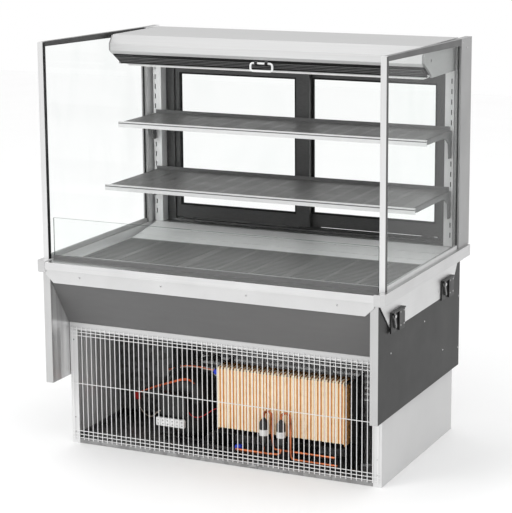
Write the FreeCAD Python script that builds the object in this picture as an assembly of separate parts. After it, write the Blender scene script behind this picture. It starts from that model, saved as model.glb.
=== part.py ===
"""Drop-in open-front refrigerated display case with sliding rear glass doors.

Millimetres. +X is the customer's right, -Y is the customer's side, +Z is up. The origin is on the floor,
under the middle of the whole case. Depths ("d") are measured back from the front edge of the rim.
"""
import math
import os

import FreeCAD
import Part

os.makedirs("parts", exist_ok=True)

V = FreeCAD.Vector

# ---- driving dimensions -------------------------------------------------------------------------
RIM_WIDTH = 1219.0          # outside of the two side rails
RIM_DEPTH = 806.0
OVERALL_DEPTH = 828.0       # from the rim's front edge to the back of the rear door frame
RIM_TOP = 650.0             # top of the side rails, columns and glass stand on it
POST_TOP = 1362.0
COLUMN_TOP = 1352.0
SHEET = 2.0                 # all bent sheet metal
GAP = 0.3                   # between pieces that only meet

HALF = RIM_WIDTH / 2
FRONT = -OVERALL_DEPTH / 2

# rim and countertop apron
RAIL_WIDTH, RAIL_HEIGHT = 33.0, 37.0
RAIL_INNER = HALF - RAIL_WIDTH
RAIL_BOTTOM = RIM_TOP - RAIL_HEIGHT
RIM_TOP_FRONT, RIM_BOTTOM_FRONT = 647.0, 622.0
CORNER_CHAMFER = 12.0
FRONT_RIM_D1, REAR_RIM_D0 = 68.0, 742.0
APRON_X = 590.0             # inner face of the side aprons
APRON_BOTTOM = 514.0
FRONT_APRON_BOTTOM = 579.0

# base cabinet
BASE_HALF, BASE_D0, BASE_D1, BASE_TOP = 560.0, 121.0, 780.0, 420.0
CORNER_POST = 29.0
HEADER_BOTTOM = 394.0
WIRE_R = 1.3
WIRE_PITCH = 18.0
GRILLE_HALF = 549.0
GUARD_LOW, GUARD_HIGH = 14.0, 406.0
PAN_LIP = 16.0

# side panels
PANEL_OUTER, PANEL_INNER = 588.0, 562.0
PANEL_D0, PANEL_D1, PANEL_BOTTOM = 10.0, 765.0, 237.0
PANEL_TOP = RAIL_BOTTOM - GAP

# insulated well and deck
WELL_HALF, WELL_D0, WELL_D1 = 524.0, 66.0, 735.0
WELL_FLOOR, WELL_BOTTOM, WELL_TOP = 461.0, 424.0, 619.0
FOAM_HALF = 561.0
DECK_HALF, DECK_D0, DECK_D1 = 559.0, 168.0, 556.0
DECK_Z = WELL_TOP + SHEET + GAP + SHEET
INTAKE_D0, INTAKE_D1, INTAKE_TOP = 69.0, 166.0, 636.0
RISER = [(560.0, 624.0), (738.0, 650.0)]    # rear air duct cover, foot and head
RISER_SLOTS = (600.0, 665.0)
DRAIN_X, DRAIN_D, DRAIN_R = 440.0, 300.0, 12.0

# rear wall
COLUMN_D0, COLUMN_D1 = 716.0, 820.0
COLUMN_OUTER = 599.0        # in line with the front posts
JAMB_D = 782.0
PILASTER_D, PILASTER_INNER, PILASTER_OUTER = 742.0, 533.0, 564.0
SLOT_X = 556.0
SLOT_PITCH, SLOT_HEIGHT, SLOT_WIDTH, SLOT_Z0, SLOT_COUNT = 34.7, 17.0, 4.0, 680.0, 16

# sliding doors
FRAME_HALF, FRAME_BOTTOM, FRAME_TOP = 532.5, 650.5, 1244.0
OPENING_HALF, SILL_TOP, HEAD_BOTTOM = 500.0, 658.0, 1214.0
FRAME_D0, FRAME_D1 = 780.0, OVERALL_DEPTH
DOOR_OUTER, DOOR_BOTTOM, DOOR_TOP = 512.0, 664.0, 1226.0
DOOR_THICK = 14.0
TRACK_D = {"left": 786.0, "right": 808.0}
STILE_OUTER, STILE_MEETING, RAIL_TOP_H, RAIL_BOTTOM_H = 30.0, 50.0, 36.0, 44.0

# canopy and night curtain
CANOPY_HALF = 561.5
CANOPY_NOSE = [(789, 1350), (458, 1351), (436, 1322), (436, 1297), (447, 1286)]
BAR_FRONT, BAR_REAR = (447.0, 1283.0), (503.0, 1247.0)
BAR_LENGTH = math.dist(BAR_FRONT, BAR_REAR)
BAR_HALF = 553.0
RING_WIDTH, RING_HEIGHT, RING_R, RING_BEND = 79.0, 26.0, 3.5, 9.0
RING_OUT = 5.5              # ring's pivot, out from the bar's face
RING_PIVOT_ALONG = 6.0
ROLLER_D, ROLLER_Z, ROLLER_R, ROLL_R = 502.0, 1302.0, 13.0, 23.0

# shelves
SHELF_HALF, SHELF_DROP = 552.0, 18.0
SHELVES = {"upper": {"top": 1046.0, "front": 489.0, "slots": (10, 8)},
           "lower": {"top": 842.0, "front": 388.0, "slots": (4, 2)}}
SHELF_REAR = 738.0
STRIP_HALF = 563.0

# hold-down clamps
CLAMP_DEPTHS = {"front": 98.0, "rear": 560.0}
CLAMP_WIDTH, CLAMP_BOTTOM, CLAMP_TOP, CLAMP_THICK = 102.0, 507.0, 574.0, 10.0
LEVER_PIN = (14.0, 560.0)   # depth from the clamp's front edge, height

# cord gland on the rear of the base
GLAND_X, GLAND_Z, GLAND_R = -470.0, 60.0, 12.0
DRAIN_HOLE_R = 16.0

# filter driers and fans
DRIER_X, DRIER_D, DRIER_R = (134.0, 195.0), 165.0, 15.0
DRIER_Z0, DRIER_Z1, DRIER_CONE = 78.0, 150.0, 16.0
EVAP_FAN_X, EVAP_FAN_Z, EVAP_FAN_R, EVAP_FAN_D = 235.0, 515.0, 42.0, 528.0
COND_FAN_X, COND_FAN_Z, COND_FAN_R, COND_FAN_D = 178.0, 195.0, 80.0, 264.0


# ---- shape helpers ------------------------------------------------------------------------------
def box(x0, x1, d0, d1, z0, z1):
    return Part.makeBox(x1 - x0, d1 - d0, z1 - z0, V(x0, FRONT + d0, z0))


def rod(start, end, radius):
    """Round bar between two (x, depth, z) points."""
    a = V(start[0], FRONT + start[1], start[2])
    b = V(end[0], FRONT + end[1], end[2])
    return Part.makeCylinder(radius, (b - a).Length, a, b - a)


def prism_x(outline, x0, x1):
    """Outline of (depth, z) points, extruded from x0 to x1."""
    points = [V(x0, FRONT + d, z) for d, z in outline]
    return Part.Face(Part.makePolygon(points + points[:1])).extrude(V(x1 - x0, 0, 0))


def prism_z(outline, z0, z1):
    """Outline of (x, depth) points, extruded from z0 to z1."""
    points = [V(x, FRONT + d, z0) for x, d in outline]
    return Part.Face(Part.makePolygon(points + points[:1])).extrude(V(0, 0, z1 - z0))


def bent_sheet(outline, x0, x1, thickness):
    """Sheet bent along an open (depth, z) outline; the sheet lies on the outline's left side."""
    rows = [V(0, d, z) for d, z in outline]
    normals = []
    for a, b in zip(rows, rows[1:]):
        along = (b - a).normalize()
        normals.append(V(0, -along.z, along.y))
    inner = []
    for i, point in enumerate(rows):
        if i == 0 or i == len(rows) - 1:
            shift = normals[0 if i == 0 else -1] * thickness
        else:
            both = normals[i - 1] + normals[i]
            shift = both * (thickness / (both.dot(normals[i])))
        inner.append((point.y + shift.y, point.z + shift.z))
    return prism_x(list(outline) + inner[::-1], x0, x1)


def mirrored(shape):
    return shape.mirror(V(0, 0, 0), V(1, 0, 0))


def both_sides(*shapes):
    return list(shapes) + [mirrored(s) for s in shapes]


def cut(shape, *tools):
    return shape.cut(Part.makeCompound(list(tools)))


def fuse(first, *others):
    return first.fuse(list(others)).removeSplitter()


def slots_along(first, step, count, make):
    return [make(first + step * i) for i in range(count)]


def save(node, *solids):
    shape = solids[0] if len(solids) == 1 else Part.makeCompound(list(solids))
    shape.exportStep("parts/" + node + ".step")


# ---- base cabinet -------------------------------------------------------------------------------
def base_cabinet():
    inner = BASE_HALF - SHEET - GAP
    floor = box(-inner, inner, BASE_D0 + SHEET, BASE_D1 - SHEET, 0, SHEET)
    lip = box(-inner, inner, BASE_D0 + SHEET, BASE_D0 + 2 * SHEET, 0, PAN_LIP)
    flanges = both_sides(box(inner - SHEET, inner, BASE_D0 + SHEET, BASE_D1 - SHEET, 0, 22))
    hole = rod((DRAIN_X, DRAIN_D, -5), (DRAIN_X, DRAIN_D, 5), DRAIN_HOLE_R)
    save("base_pan", fuse(floor, lip, *flanges).cut(hole))

    outer = BASE_HALF
    side = box(outer - SHEET, outer, BASE_D0, BASE_D1, 0, BASE_TOP)
    front = box(outer - CORNER_POST, outer, BASE_D0, BASE_D0 + SHEET - GAP, 0, HEADER_BOTTOM)
    rear = box(outer - CORNER_POST, outer, BASE_D1 - SHEET + GAP, BASE_D1, 0, BASE_TOP)
    save("base_sides", *both_sides(fuse(side, front, rear)))

    face = box(-inner, inner, BASE_D0, BASE_D0 + SHEET, HEADER_BOTTOM + GAP, BASE_TOP)
    shelf = box(-inner, inner, BASE_D0, BASE_D0 + 32, BASE_TOP - SHEET, BASE_TOP)
    hem = box(-inner, inner, BASE_D0, BASE_D0 + 14, HEADER_BOTTOM + GAP, HEADER_BOTTOM + GAP + SHEET)
    save("base_header", fuse(face, shelf, hem))

    half = inner - SHEET - GAP
    panel = box(-half, half, BASE_D1 - 2 * SHEET, BASE_D1 - SHEET, SHEET + GAP, BASE_TOP)
    louvres = [rod((GLAND_X, 700, GLAND_Z), (GLAND_X, 800, GLAND_Z), GLAND_R + GAP)]
    for x in (-400, -140, 120):
        louvres += slots_along(60.0, 22.0, 14, lambda z, x=x: box(x, x + 240, BASE_D1 - 9, BASE_D1, z, z + 9))
    save("base_rear_panel", cut(panel, *louvres))


def front_grille():
    """Welded wire guard: uprights in front, three close rows at the top and foot, one in the middle."""
    front = BASE_D0 - WIRE_R - 0.1
    ahead = front - 2 * WIRE_R
    count = int(round(2 * GRILLE_HALF / WIRE_PITCH)) + 1
    uprights = slots_along(-GRILLE_HALF, WIRE_PITCH, count,
                           lambda x: rod((x, ahead, GUARD_LOW), (x, ahead, GUARD_HIGH), WIRE_R))
    rows = [GUARD_LOW + 6 + 12 * i for i in range(3)] + [210.0]
    rows += [GUARD_HIGH - 6 - 12 * i for i in range(3)]
    spans = [rod((-GRILLE_HALF - 6, front, z), (GRILLE_HALF + 6, front, z), WIRE_R) for z in rows]
    save("front_grille", *uprights, *spans)


# ---- side panels and fascia ---------------------------------------------------------------------
def side_panels():
    depth0, depth1 = PANEL_D0 + SHEET + GAP, PANEL_D1
    skin = box(PANEL_OUTER - SHEET, PANEL_OUTER, depth0, depth1, PANEL_BOTTOM, PANEL_TOP)
    liner = box(PANEL_INNER, PANEL_INNER + SHEET, depth0, depth1, PANEL_BOTTOM, PANEL_TOP)
    web = box(PANEL_INNER, PANEL_OUTER, depth1 - SHEET, depth1, PANEL_BOTTOM, PANEL_TOP)
    foot = box(PANEL_INNER, PANEL_OUTER, depth0, depth1, PANEL_BOTTOM, PANEL_BOTTOM + SHEET)
    save("side_panels", *both_sides(fuse(skin, liner, web, foot)))

    face = box(PANEL_INNER, PANEL_OUTER, PANEL_D0, PANEL_D0 + SHEET, PANEL_BOTTOM, PANEL_TOP)
    hem = box(PANEL_INNER + SHEET + GAP, PANEL_INNER + 2 * SHEET + GAP,
              PANEL_D0, PANEL_D0 + 20, PANEL_BOTTOM + SHEET + GAP, PANEL_TOP)
    outer_hem = box(PANEL_OUTER - 2 * SHEET - GAP, PANEL_OUTER - SHEET - GAP,
                    PANEL_D0, PANEL_D0 + 20, PANEL_BOTTOM + SHEET + GAP, PANEL_TOP)
    save("leg_channels", *both_sides(fuse(face, hem, outer_hem)))

    half = PANEL_INNER - 0.5
    outline = [(14, 612), (14, 587), (119, WELL_BOTTOM - 0.5), (160, WELL_BOTTOM - 0.5)]
    fascia = bent_sheet(outline, -half, half, -SHEET)
    under = box(-half, half, 160.3, 772, WELL_BOTTOM - 0.5 - SHEET, WELL_BOTTOM - 0.5)
    under = under.cut(rod((DRAIN_X, DRAIN_D, 400), (DRAIN_X, DRAIN_D, 480), DRAIN_R + GAP))
    back = box(-half, half, 770.3, 772.3, WELL_BOTTOM, WELL_TOP)
    save("well_skins", fascia, under, back)


# ---- insulated well -----------------------------------------------------------------------------
def well():
    outer = [(17, WELL_TOP), (17, 590), (123, WELL_BOTTOM), (770, WELL_BOTTOM), (770, WELL_TOP)]
    hollow = [(WELL_D0, 640), (WELL_D0, 600), (165, WELL_FLOOR), (WELL_D1, WELL_FLOOR), (WELL_D1, 640)]
    inside = [(WELL_D0 + SHEET, 640), (WELL_D0 + SHEET, 600.6), (166, WELL_FLOOR + SHEET),
              (WELL_D1 - SHEET, WELL_FLOOR + SHEET), (WELL_D1 - SHEET, 640)]
    cavity = prism_x(hollow, -WELL_HALF, WELL_HALF)
    space = prism_x(inside, -WELL_HALF + SHEET, WELL_HALF - SHEET)
    drain = rod((DRAIN_X, DRAIN_D, 400), (DRAIN_X, DRAIN_D, 480), DRAIN_R + GAP)
    save("well_foam", prism_x(outer, -FOAM_HALF, FOAM_HALF).cut(cavity).cut(drain))

    basin = cavity.common(box(-WELL_HALF, WELL_HALF, WELL_D0, WELL_D1, WELL_FLOOR, WELL_TOP))
    flange = box(-RAIL_INNER + GAP, RAIL_INNER - GAP, 18, 768, WELL_TOP, WELL_TOP + SHEET)
    save("well_liner", cut(fuse(basin, flange), space, drain))

    top = WELL_FLOOR + SHEET
    spigot = rod((DRAIN_X, DRAIN_D, 395), (DRAIN_X, DRAIN_D, top + 1), DRAIN_R)
    collar = rod((DRAIN_X, DRAIN_D, top + 0.1), (DRAIN_X, DRAIN_D, top + 2.4), DRAIN_R + 5)
    bore = rod((DRAIN_X, DRAIN_D, 390), (DRAIN_X, DRAIN_D, 470), DRAIN_R - 3)
    save("drain_fitting", fuse(spigot, collar).cut(bore))


def deck():
    """Three lift-out slotted deck plates on two cross rails; their ends lie on the liner's flange."""
    width = (2 * DECK_HALF - 2) / 3
    half = WELL_HALF - SHEET - GAP
    lip_z = DECK_Z - 12
    plates = []
    for i in (-1, 0, 1):
        x0 = i * (width + 1) - width / 2
        a, b = max(x0, -half), min(x0 + width, half)
        plate = box(x0, x0 + width, DECK_D0, DECK_D1, DECK_Z - SHEET, DECK_Z)
        lips = [box(a, b, d, d + SHEET, lip_z, DECK_Z) for d in (DECK_D0, DECK_D1 - SHEET)]
        openings = []
        for column in (0, 1, 2):
            left = x0 + 14 + column * 118
            openings += slots_along(DECK_D0 + 18.0, 18.0, 20,
                                    lambda d, x=left: box(x, x + 108, d, d + 8, DECK_Z - 5, DECK_Z + 5))
        plates.append(cut(fuse(plate, *lips), *openings))
    top = DECK_Z - SHEET - GAP
    rails = [box(-half, half, d, d + 14, top - 9, top) for d in (240.0, 470.0)]
    save("deck", *plates, *rails)


def intake_grille():
    """Perforated return-air cover behind the front glass."""
    foot = WELL_TOP + SHEET + GAP
    top = box(-DECK_HALF, DECK_HALF, INTAKE_D0, INTAKE_D1, INTAKE_TOP - SHEET, INTAKE_TOP)
    legs = [box(-DECK_HALF, DECK_HALF, d, d + SHEET, foot, INTAKE_TOP)
            for d in (INTAKE_D0, INTAKE_D1 - SHEET)]
    slots = []
    for x in range(-550, 540, 50):
        slots += slots_along(INTAKE_D0 + 8.0, 8.0, 10,
                             lambda d, x=x: box(x, x + 44, d, d + 4, INTAKE_TOP - 5, INTAKE_TOP + 1))
    save("intake_grille", cut(fuse(top, *legs), *slots))


def duct_panel():
    """Sloping air duct cover between the deck and the rear rim, with two long outlet slots and end cheeks."""
    (d0, z0), (d1, z1) = RISER
    foot = WELL_TOP + SHEET + GAP
    sheet = prism_x([(d0, z0 - SHEET), (d0, z0), (d1, z1), (d1, z1 - SHEET)], -DECK_HALF, DECK_HALF)
    cheek = prism_x([(d0, foot), (d0, z0), (d1, z1), (d1, foot)], DECK_HALF - SHEET, DECK_HALF)
    slots = []
    for x in range(-552, 540, 184):
        slots += [box(x, x + 180, d - 2.5, d + 2.5, foot, z1) for d in RISER_SLOTS]
    save("duct_panel", cut(fuse(sheet, *both_sides(cheek)), *slots))


def evaporator():
    fins = slots_along(-420.0, 20.0, 43, lambda x: box(x, x + 0.8, 590, 700, 470, 556))
    tubes = [rod((-432, d, z), (432, d, z), 5) for d in (610, 645, 680) for z in (485, 513, 541)]
    bends = both_sides(*[rod((432, d, z), (432, d, z + 28), 5) for d in (610, 645, 680) for z in (485, 513)])
    core = fuse(tubes[0], *tubes[1:], *bends, *fins)
    save("evaporator_coil", core)

    half = WELL_HALF - SHEET - GAP
    plate = box(-half, half, 520, 522, WELL_FLOOR + SHEET + GAP, 560)
    foot = box(-half, half, 520, 545, WELL_FLOOR + SHEET + GAP, WELL_FLOOR + 2 * SHEET + GAP)
    head = box(-half, half, 520, 575, 558, 560)
    holes = [rod((s * EVAP_FAN_X, 500, EVAP_FAN_Z), (s * EVAP_FAN_X, 530, EVAP_FAN_Z), EVAP_FAN_R + 3)
             for s in (-1, 1)]
    motors = []
    for s in (-1, 1):
        x = s * EVAP_FAN_X
        body = rod((x, 545, EVAP_FAN_Z), (x, 580, EVAP_FAN_Z), 24)
        low, high = EVAP_FAN_Z - 6, EVAP_FAN_Z + 6
        stay = box(x - 60, x + 60, 552, 556, low, high)
        legs = [box(x + k * 60 - 3, x + k * 60 + 3, 522, 556, low, high) for k in (-1, 1)]
        bore = rod((x, 540, EVAP_FAN_Z), (x, 570, EVAP_FAN_Z), 3.3)
        motors.append(fuse(body, stay, *legs).cut(bore))
    save("evaporator_fan_mounts", cut(fuse(plate, foot, head), *holes), *motors)
    for name, s in (("left", -1), ("right", 1)):
        rotor = fan(s * EVAP_FAN_X, EVAP_FAN_D, EVAP_FAN_Z, EVAP_FAN_R, 11, 14, 3.0, 38)
        save("evaporator_fan_" + name, rotor)


def fan(x, depth, z, radius, hub_radius, width, shaft_radius, shaft_length):
    """Five pitched blades on a hub, turning about the depth axis; the shaft runs back to the motor."""
    hub = rod((x, depth, z), (x, depth + width, z), hub_radius)
    shaft = rod((x, depth, z), (x, depth + shaft_length, z), shaft_radius)
    blades = []
    for i in range(5):
        root = hub_radius - 2
        blade = Part.makeBox(radius - root, 1.6, radius * 0.5, V(root, -0.8, -radius * 0.25))
        blade.rotate(V(0, 0, 0), V(1, 0, 0), 62)
        blade.rotate(V(0, 0, 0), V(0, 1, 0), 72.0 * i)
        blade.translate(V(x, FRONT + depth + width / 2, z))
        blades.append(blade)
    return fuse(hub, shaft, *blades)


# ---- rim and aprons -----------------------------------------------------------------------------
def rim():
    c = CORNER_CHAMFER
    plan = [(RAIL_INNER, 0), (HALF - c, 0), (HALF, c), (HALF, RIM_DEPTH), (RAIL_INNER, RIM_DEPTH)]
    t = SHEET
    core = [(RAIL_INNER + t, t), (HALF - c - 0.8, t), (HALF - t, c + 0.8), (HALF - t, RIM_DEPTH - t),
            (RAIL_INNER + t, RIM_DEPTH - t)]
    rail = prism_z(plan, RAIL_BOTTOM, RIM_TOP).cut(prism_z(core, RAIL_BOTTOM - 1, RIM_TOP - t))
    save("rim_sides", *both_sides(rail))

    half = RAIL_INNER - GAP
    ends = []
    for d0, d1, top in ((1.0, FRONT_RIM_D1, RIM_TOP_FRONT), (REAR_RIM_D0, RIM_DEPTH - 1, RIM_TOP)):
        shell = box(-half, half, d0, d1, RIM_BOTTOM_FRONT, top)
        hollow = box(-half + t, half - t, d0 + t, d1 - t, RIM_BOTTOM_FRONT - 1, top - t)
        ends.append(shell.cut(hollow))
    save("rim_ends", *ends)


def aprons():
    """Sheets below the rim that drop into the countertop opening; their ends are cut at a slant."""
    z = RIM_BOTTOM_FRONT - GAP
    bottom = FRONT_APRON_BOTTOM
    side = RAIL_INNER - GAP
    outline = [(-side, z), (-side, 606), (-547, bottom), (547, bottom), (side, 606), (side, z)]
    points = [V(x, FRONT + 6, h) for x, h in outline]
    front = Part.Face(Part.makePolygon(points + points[:1])).extrude(V(0, SHEET, 0))
    rear = front.mirror(V(0, FRONT + RIM_DEPTH / 2, 0), V(0, 1, 0))

    top = RAIL_BOTTOM - GAP
    outline = [(14, top), (110, APRON_BOTTOM), (664, APRON_BOTTOM), (735, top)]
    sheet = prism_x(outline, APRON_X, APRON_X + SHEET)
    flange = box(APRON_X, HALF - SHEET, 14, 735, top - SHEET, top)
    slots = [box(APRON_X - 5, APRON_X + 5, d, d + 4, 540, 552) for d in (226.0, 536.0)]
    save("aprons", front, rear, *both_sides(cut(fuse(sheet, flange), *slots)))


def clamps():
    """Four hold-down clamps on the side aprons: a black housing and a swinging lever on a pin."""
    x0, x1 = APRON_X + SHEET + 0.1, APRON_X + SHEET + CLAMP_THICK
    pin_d, pin_z = LEVER_PIN
    housings = []
    for d in CLAMP_DEPTHS.values():
        plate = box(x0, x1 - 5, d, d + CLAMP_WIDTH, CLAMP_BOTTOM, CLAMP_TOP)
        ledge = box(x0, x1 + 4, d, d + CLAMP_WIDTH, CLAMP_TOP - 4, CLAMP_TOP)
        stop = box(x0, x1 + 1, d + 56, d + CLAMP_WIDTH, CLAMP_BOTTOM, CLAMP_TOP)
        pin = rod((x0, d + pin_d, pin_z), (x1 + 4.5, d + pin_d, pin_z), 3.5)
        housings.append(fuse(plate, ledge, stop, pin))
    save("clamp_housings", *both_sides(*housings))

    for name, d in CLAMP_DEPTHS.items():
        lever = clamp_lever(x1 - 4.6, d + pin_d, pin_z)
        save("clamp_lever_right_" + name, lever)
        save("clamp_lever_left_" + name, mirrored(lever))


def clamp_lever(x, d, z):
    """Flat lever that hangs forward of the stop block, with an eye around the pin."""
    thick, length, half = 6.0, 38.0, 5.0
    eye = rod((x, d, z), (x + thick, d, z), 8.5)
    arm = box(x, x + thick, d - half, d + half, z - length, z)
    toe = rod((x, d, z - length), (x + thick, d, z - length), half)
    lever = fuse(eye, arm, toe)
    lever.rotate(V(x, FRONT + d, z), V(1, 0, 0), 22)
    return lever.cut(rod((x - 1, d, z), (x + thick + 1, d, z), 3.8))


# ---- columns, pilasters and doors ---------------------------------------------------------------
def rear_wall():
    column = box(RAIL_INNER, COLUMN_OUTER, COLUMN_D0, COLUMN_D1, RIM_TOP, COLUMN_TOP)
    hollow = box(RAIL_INNER + SHEET, COLUMN_OUTER - SHEET, COLUMN_D0 + SHEET, COLUMN_D1 - SHEET,
                 RIM_TOP - 1, COLUMN_TOP - SHEET)
    save("columns", *both_sides(column.cut(hollow)))

    x0, x1 = PILASTER_INNER, PILASTER_OUTER
    jamb = box(x0, RAIL_INNER - GAP, JAMB_D, JAMB_D + SHEET, RIM_TOP + 0.2, FRAME_TOP)
    d0, d1 = PILASTER_D, JAMB_D - 0.1
    hollow = box(x0 + SHEET, x1 - SHEET, d0 + SHEET, d1 + 1, RIM_TOP, FRAME_TOP + 1)
    channel = box(x0, x1, d0, d1, RIM_TOP + 0.2, FRAME_TOP).cut(hollow)
    openings = slots_along(SLOT_Z0, SLOT_PITCH, SLOT_COUNT,
                           lambda z: box(SLOT_X - SLOT_WIDTH / 2, SLOT_X + SLOT_WIDTH / 2,
                                         d0 - 1, d0 + 3, z, z + SLOT_HEIGHT))
    save("pilasters", *both_sides(cut(channel, *openings), jamb))


def door_frame():
    shell = box(-FRAME_HALF, FRAME_HALF, FRAME_D0, FRAME_D1, FRAME_BOTTOM, FRAME_TOP)
    opening = box(-OPENING_HALF, OPENING_HALF, FRAME_D0 - 1, FRAME_D1 + 1, SILL_TOP, HEAD_BOTTOM)
    grooves = [box(-DOOR_OUTER - 1, DOOR_OUTER + 1, d - 1, d + DOOR_THICK + 1, SILL_TOP, DOOR_TOP + 2)
               for d in TRACK_D.values()]
    ribs = [box(-OPENING_HALF, OPENING_HALF, d + 5, d + 9, SILL_TOP - 1, SILL_TOP + 3)
            for d in TRACK_D.values()]
    lip = box(-FRAME_HALF, FRAME_HALF, RIM_DEPTH + 0.5, RIM_DEPTH + 4, FRAME_BOTTOM - 12, FRAME_BOTTOM + 1)
    save("door_frame", fuse(cut(shell, opening, *grooves), *ribs, lip))


def sliding_door(side):
    """One door in its closed place; the other is its mirror image on the rear track."""
    d = TRACK_D[side]
    x0, x1 = -DOOR_OUTER, STILE_MEETING / 2
    pane_x0, pane_x1 = x0 + STILE_OUTER, x1 - STILE_MEETING
    pane_z0, pane_z1 = DOOR_BOTTOM + RAIL_BOTTOM_H, DOOR_TOP - RAIL_TOP_H
    frame = box(x0, x1, d, d + DOOR_THICK, DOOR_BOTTOM, DOOR_TOP)
    window = box(pane_x0, pane_x1, d - 1, d + DOOR_THICK + 1, pane_z0, pane_z1)
    seat = box(pane_x0 - 6, pane_x1 + 6, d + 3, d + 11, pane_z0 - 6, pane_z1 + 6)
    pull = box(x0 + 9, x0 + 24, d + DOOR_THICK - 6, d + DOOR_THICK + 1, 880, 1010)
    groove = box(x0 - 1, x1 + 1, d + 4.5, d + 9.5, DOOR_BOTTOM - 1, DOOR_BOTTOM + 12)
    frame = cut(frame, window, seat, pull, groove)
    glides = [box(x, x + 40, d + 0.5, d + 4.2, SILL_TOP + GAP, DOOR_BOTTOM) for x in (x0 + 40, x1 - 80)]
    glides += [box(x, x + 40, d + 9.8, d + DOOR_THICK - 0.5, SILL_TOP + GAP, DOOR_BOTTOM)
               for x in (x0 + 40, x1 - 80)]
    pane = box(pane_x0 - 5, pane_x1 + 5, d + 3.2, d + 10.8, pane_z0 - 5, pane_z1 + 5)
    solids = [fuse(frame, *glides), pane]
    if side == "right":
        solids = [mirrored(s) for s in solids]
    save("door_frame_" + side, solids[0])
    save("door_glass_" + side, solids[1])


# ---- canopy and night curtain -------------------------------------------------------------------
def canopy():
    shell = bent_sheet(CANOPY_NOSE, -CANOPY_HALF, CANOPY_HALF, SHEET)
    back = box(-CANOPY_HALF, CANOPY_HALF, 789, 791, FRAME_TOP + 1, 1350)
    floor = box(-CANOPY_HALF + 3, CANOPY_HALF - 3, 575, 788.7, 1246, 1246 + SHEET)
    save("canopy_shell", shell, back.cut(shell), floor)

    outline = [(787, 1347), (459, 1348), (439, 1321), (439, 1298), (451, 1290),
               (507, 1254), (507, 1246), (787, 1246)]
    cap = prism_x(outline, CANOPY_HALF + 0.2, CANOPY_HALF + 7)
    cap = cap.cut(rod((540, ROLLER_D, ROLLER_Z), (575, ROLLER_D, ROLLER_Z), 5.4))
    save("canopy_ends", *both_sides(cap))

    housing = [(484, 1271), (509, 1255), (560, 1255), (560, 1340), (465, 1340)]
    save("curtain_housing", bent_sheet(housing, -CANOPY_HALF + 1, CANOPY_HALF - 1, SHEET))

    body = box(-540, 540, 514, 572, 1242, 1252.8)
    lens = box(-536, 536, 518, 568, 1238.5, 1242 - GAP)
    save("canopy_lamp", body, lens)


def night_curtain():
    tube = rod((-BAR_HALF, ROLLER_D, ROLLER_Z), (BAR_HALF, ROLLER_D, ROLLER_Z), ROLLER_R)
    pins = both_sides(rod((BAR_HALF - 1, ROLLER_D, ROLLER_Z), (CANOPY_HALF + 6, ROLLER_D, ROLLER_Z), 5))
    save("curtain_roller", fuse(tube, *pins))
    cloth = rod((-BAR_HALF + 5, ROLLER_D, ROLLER_Z), (BAR_HALF - 5, ROLLER_D, ROLLER_Z), ROLL_R)
    core = rod((-BAR_HALF, ROLLER_D, ROLLER_Z), (BAR_HALF, ROLLER_D, ROLLER_Z), ROLLER_R)
    save("curtain_roll", cloth.cut(core))

    save("curtain_bar", curtain_bar())
    save("curtain_handle", handle_ring())


def on_bar(along, out):
    """Point (depth, z) at a distance along the bar's sloping face, and out from that face."""
    ux = (BAR_REAR[0] - BAR_FRONT[0]) / BAR_LENGTH
    uz = (BAR_REAR[1] - BAR_FRONT[1]) / BAR_LENGTH
    return (BAR_FRONT[0] + ux * along + uz * out, BAR_FRONT[1] + uz * along - ux * out)


def curtain_bar():
    """Ribbed pull bar across the curtain, with two lugs that the handle ring hangs from."""
    outline = [on_bar(0, 0), on_bar(BAR_LENGTH, 0), on_bar(BAR_LENGTH, -5), on_bar(0, -5)]
    bar = prism_x(outline, -BAR_HALF, BAR_HALF)
    ribs = []
    for along in (14.0, 25.0, 36.0, 47.0, BAR_LENGTH - 5.0):
        rib = [on_bar(along, -0.5), on_bar(along + 2.5, -0.5), on_bar(along + 2.5, 1.5), on_bar(along, 1.5)]
        ribs.append(prism_x(rib, -BAR_HALF, BAR_HALF))
    pivot = on_bar(RING_PIVOT_ALONG, RING_OUT)
    lugs = []
    for x in (-24.0, 14.0):
        block = [on_bar(RING_PIVOT_ALONG - 5.5, -1), on_bar(RING_PIVOT_ALONG + 5.5, -1),
                 on_bar(RING_PIVOT_ALONG + 5.5, RING_OUT + 5), on_bar(RING_PIVOT_ALONG - 5.5, RING_OUT + 5)]
        bore = rod((x - 1, pivot[0], pivot[1]), (x + 11, pivot[0], pivot[1]), RING_R + 0.35)
        lugs.append(prism_x(block, x, x + 10).cut(bore))
    return fuse(bar, *ribs, *lugs)


def handle_ring():
    """Oblong ring of round bar that hangs from the pull bar and swings about its upper side."""
    half_w, half_h = RING_WIDTH / 2, RING_HEIGHT / 2
    side, end = half_w - RING_BEND, half_h - RING_BEND
    pieces = []
    for s in (-1, 1):
        pieces.append(Part.makeCylinder(RING_R, 2 * side, V(-side, s * half_h, 0), V(1, 0, 0)))
        pieces.append(Part.makeCylinder(RING_R, 2 * end, V(s * half_w, -end, 0), V(0, 1, 0)))
    for sx, sy, start in ((1, 1, 0), (-1, 1, 90), (-1, -1, 180), (1, -1, 270)):
        corner = Part.makeTorus(RING_BEND, RING_R, V(0, 0, 0), V(0, 0, 1), 0, 360, 90)
        corner.rotate(V(0, 0, 0), V(0, 0, 1), start)
        corner.translate(V(sx * side, sy * end, 0))
        pieces.append(corner)
    ring = fuse(pieces[0], *pieces[1:])
    ring.rotate(V(0, 0, 0), V(1, 0, 0), 90)
    pivot = on_bar(RING_PIVOT_ALONG, RING_OUT)
    ring.translate(V(0, FRONT + pivot[0], pivot[1] - half_h))
    return ring


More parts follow.
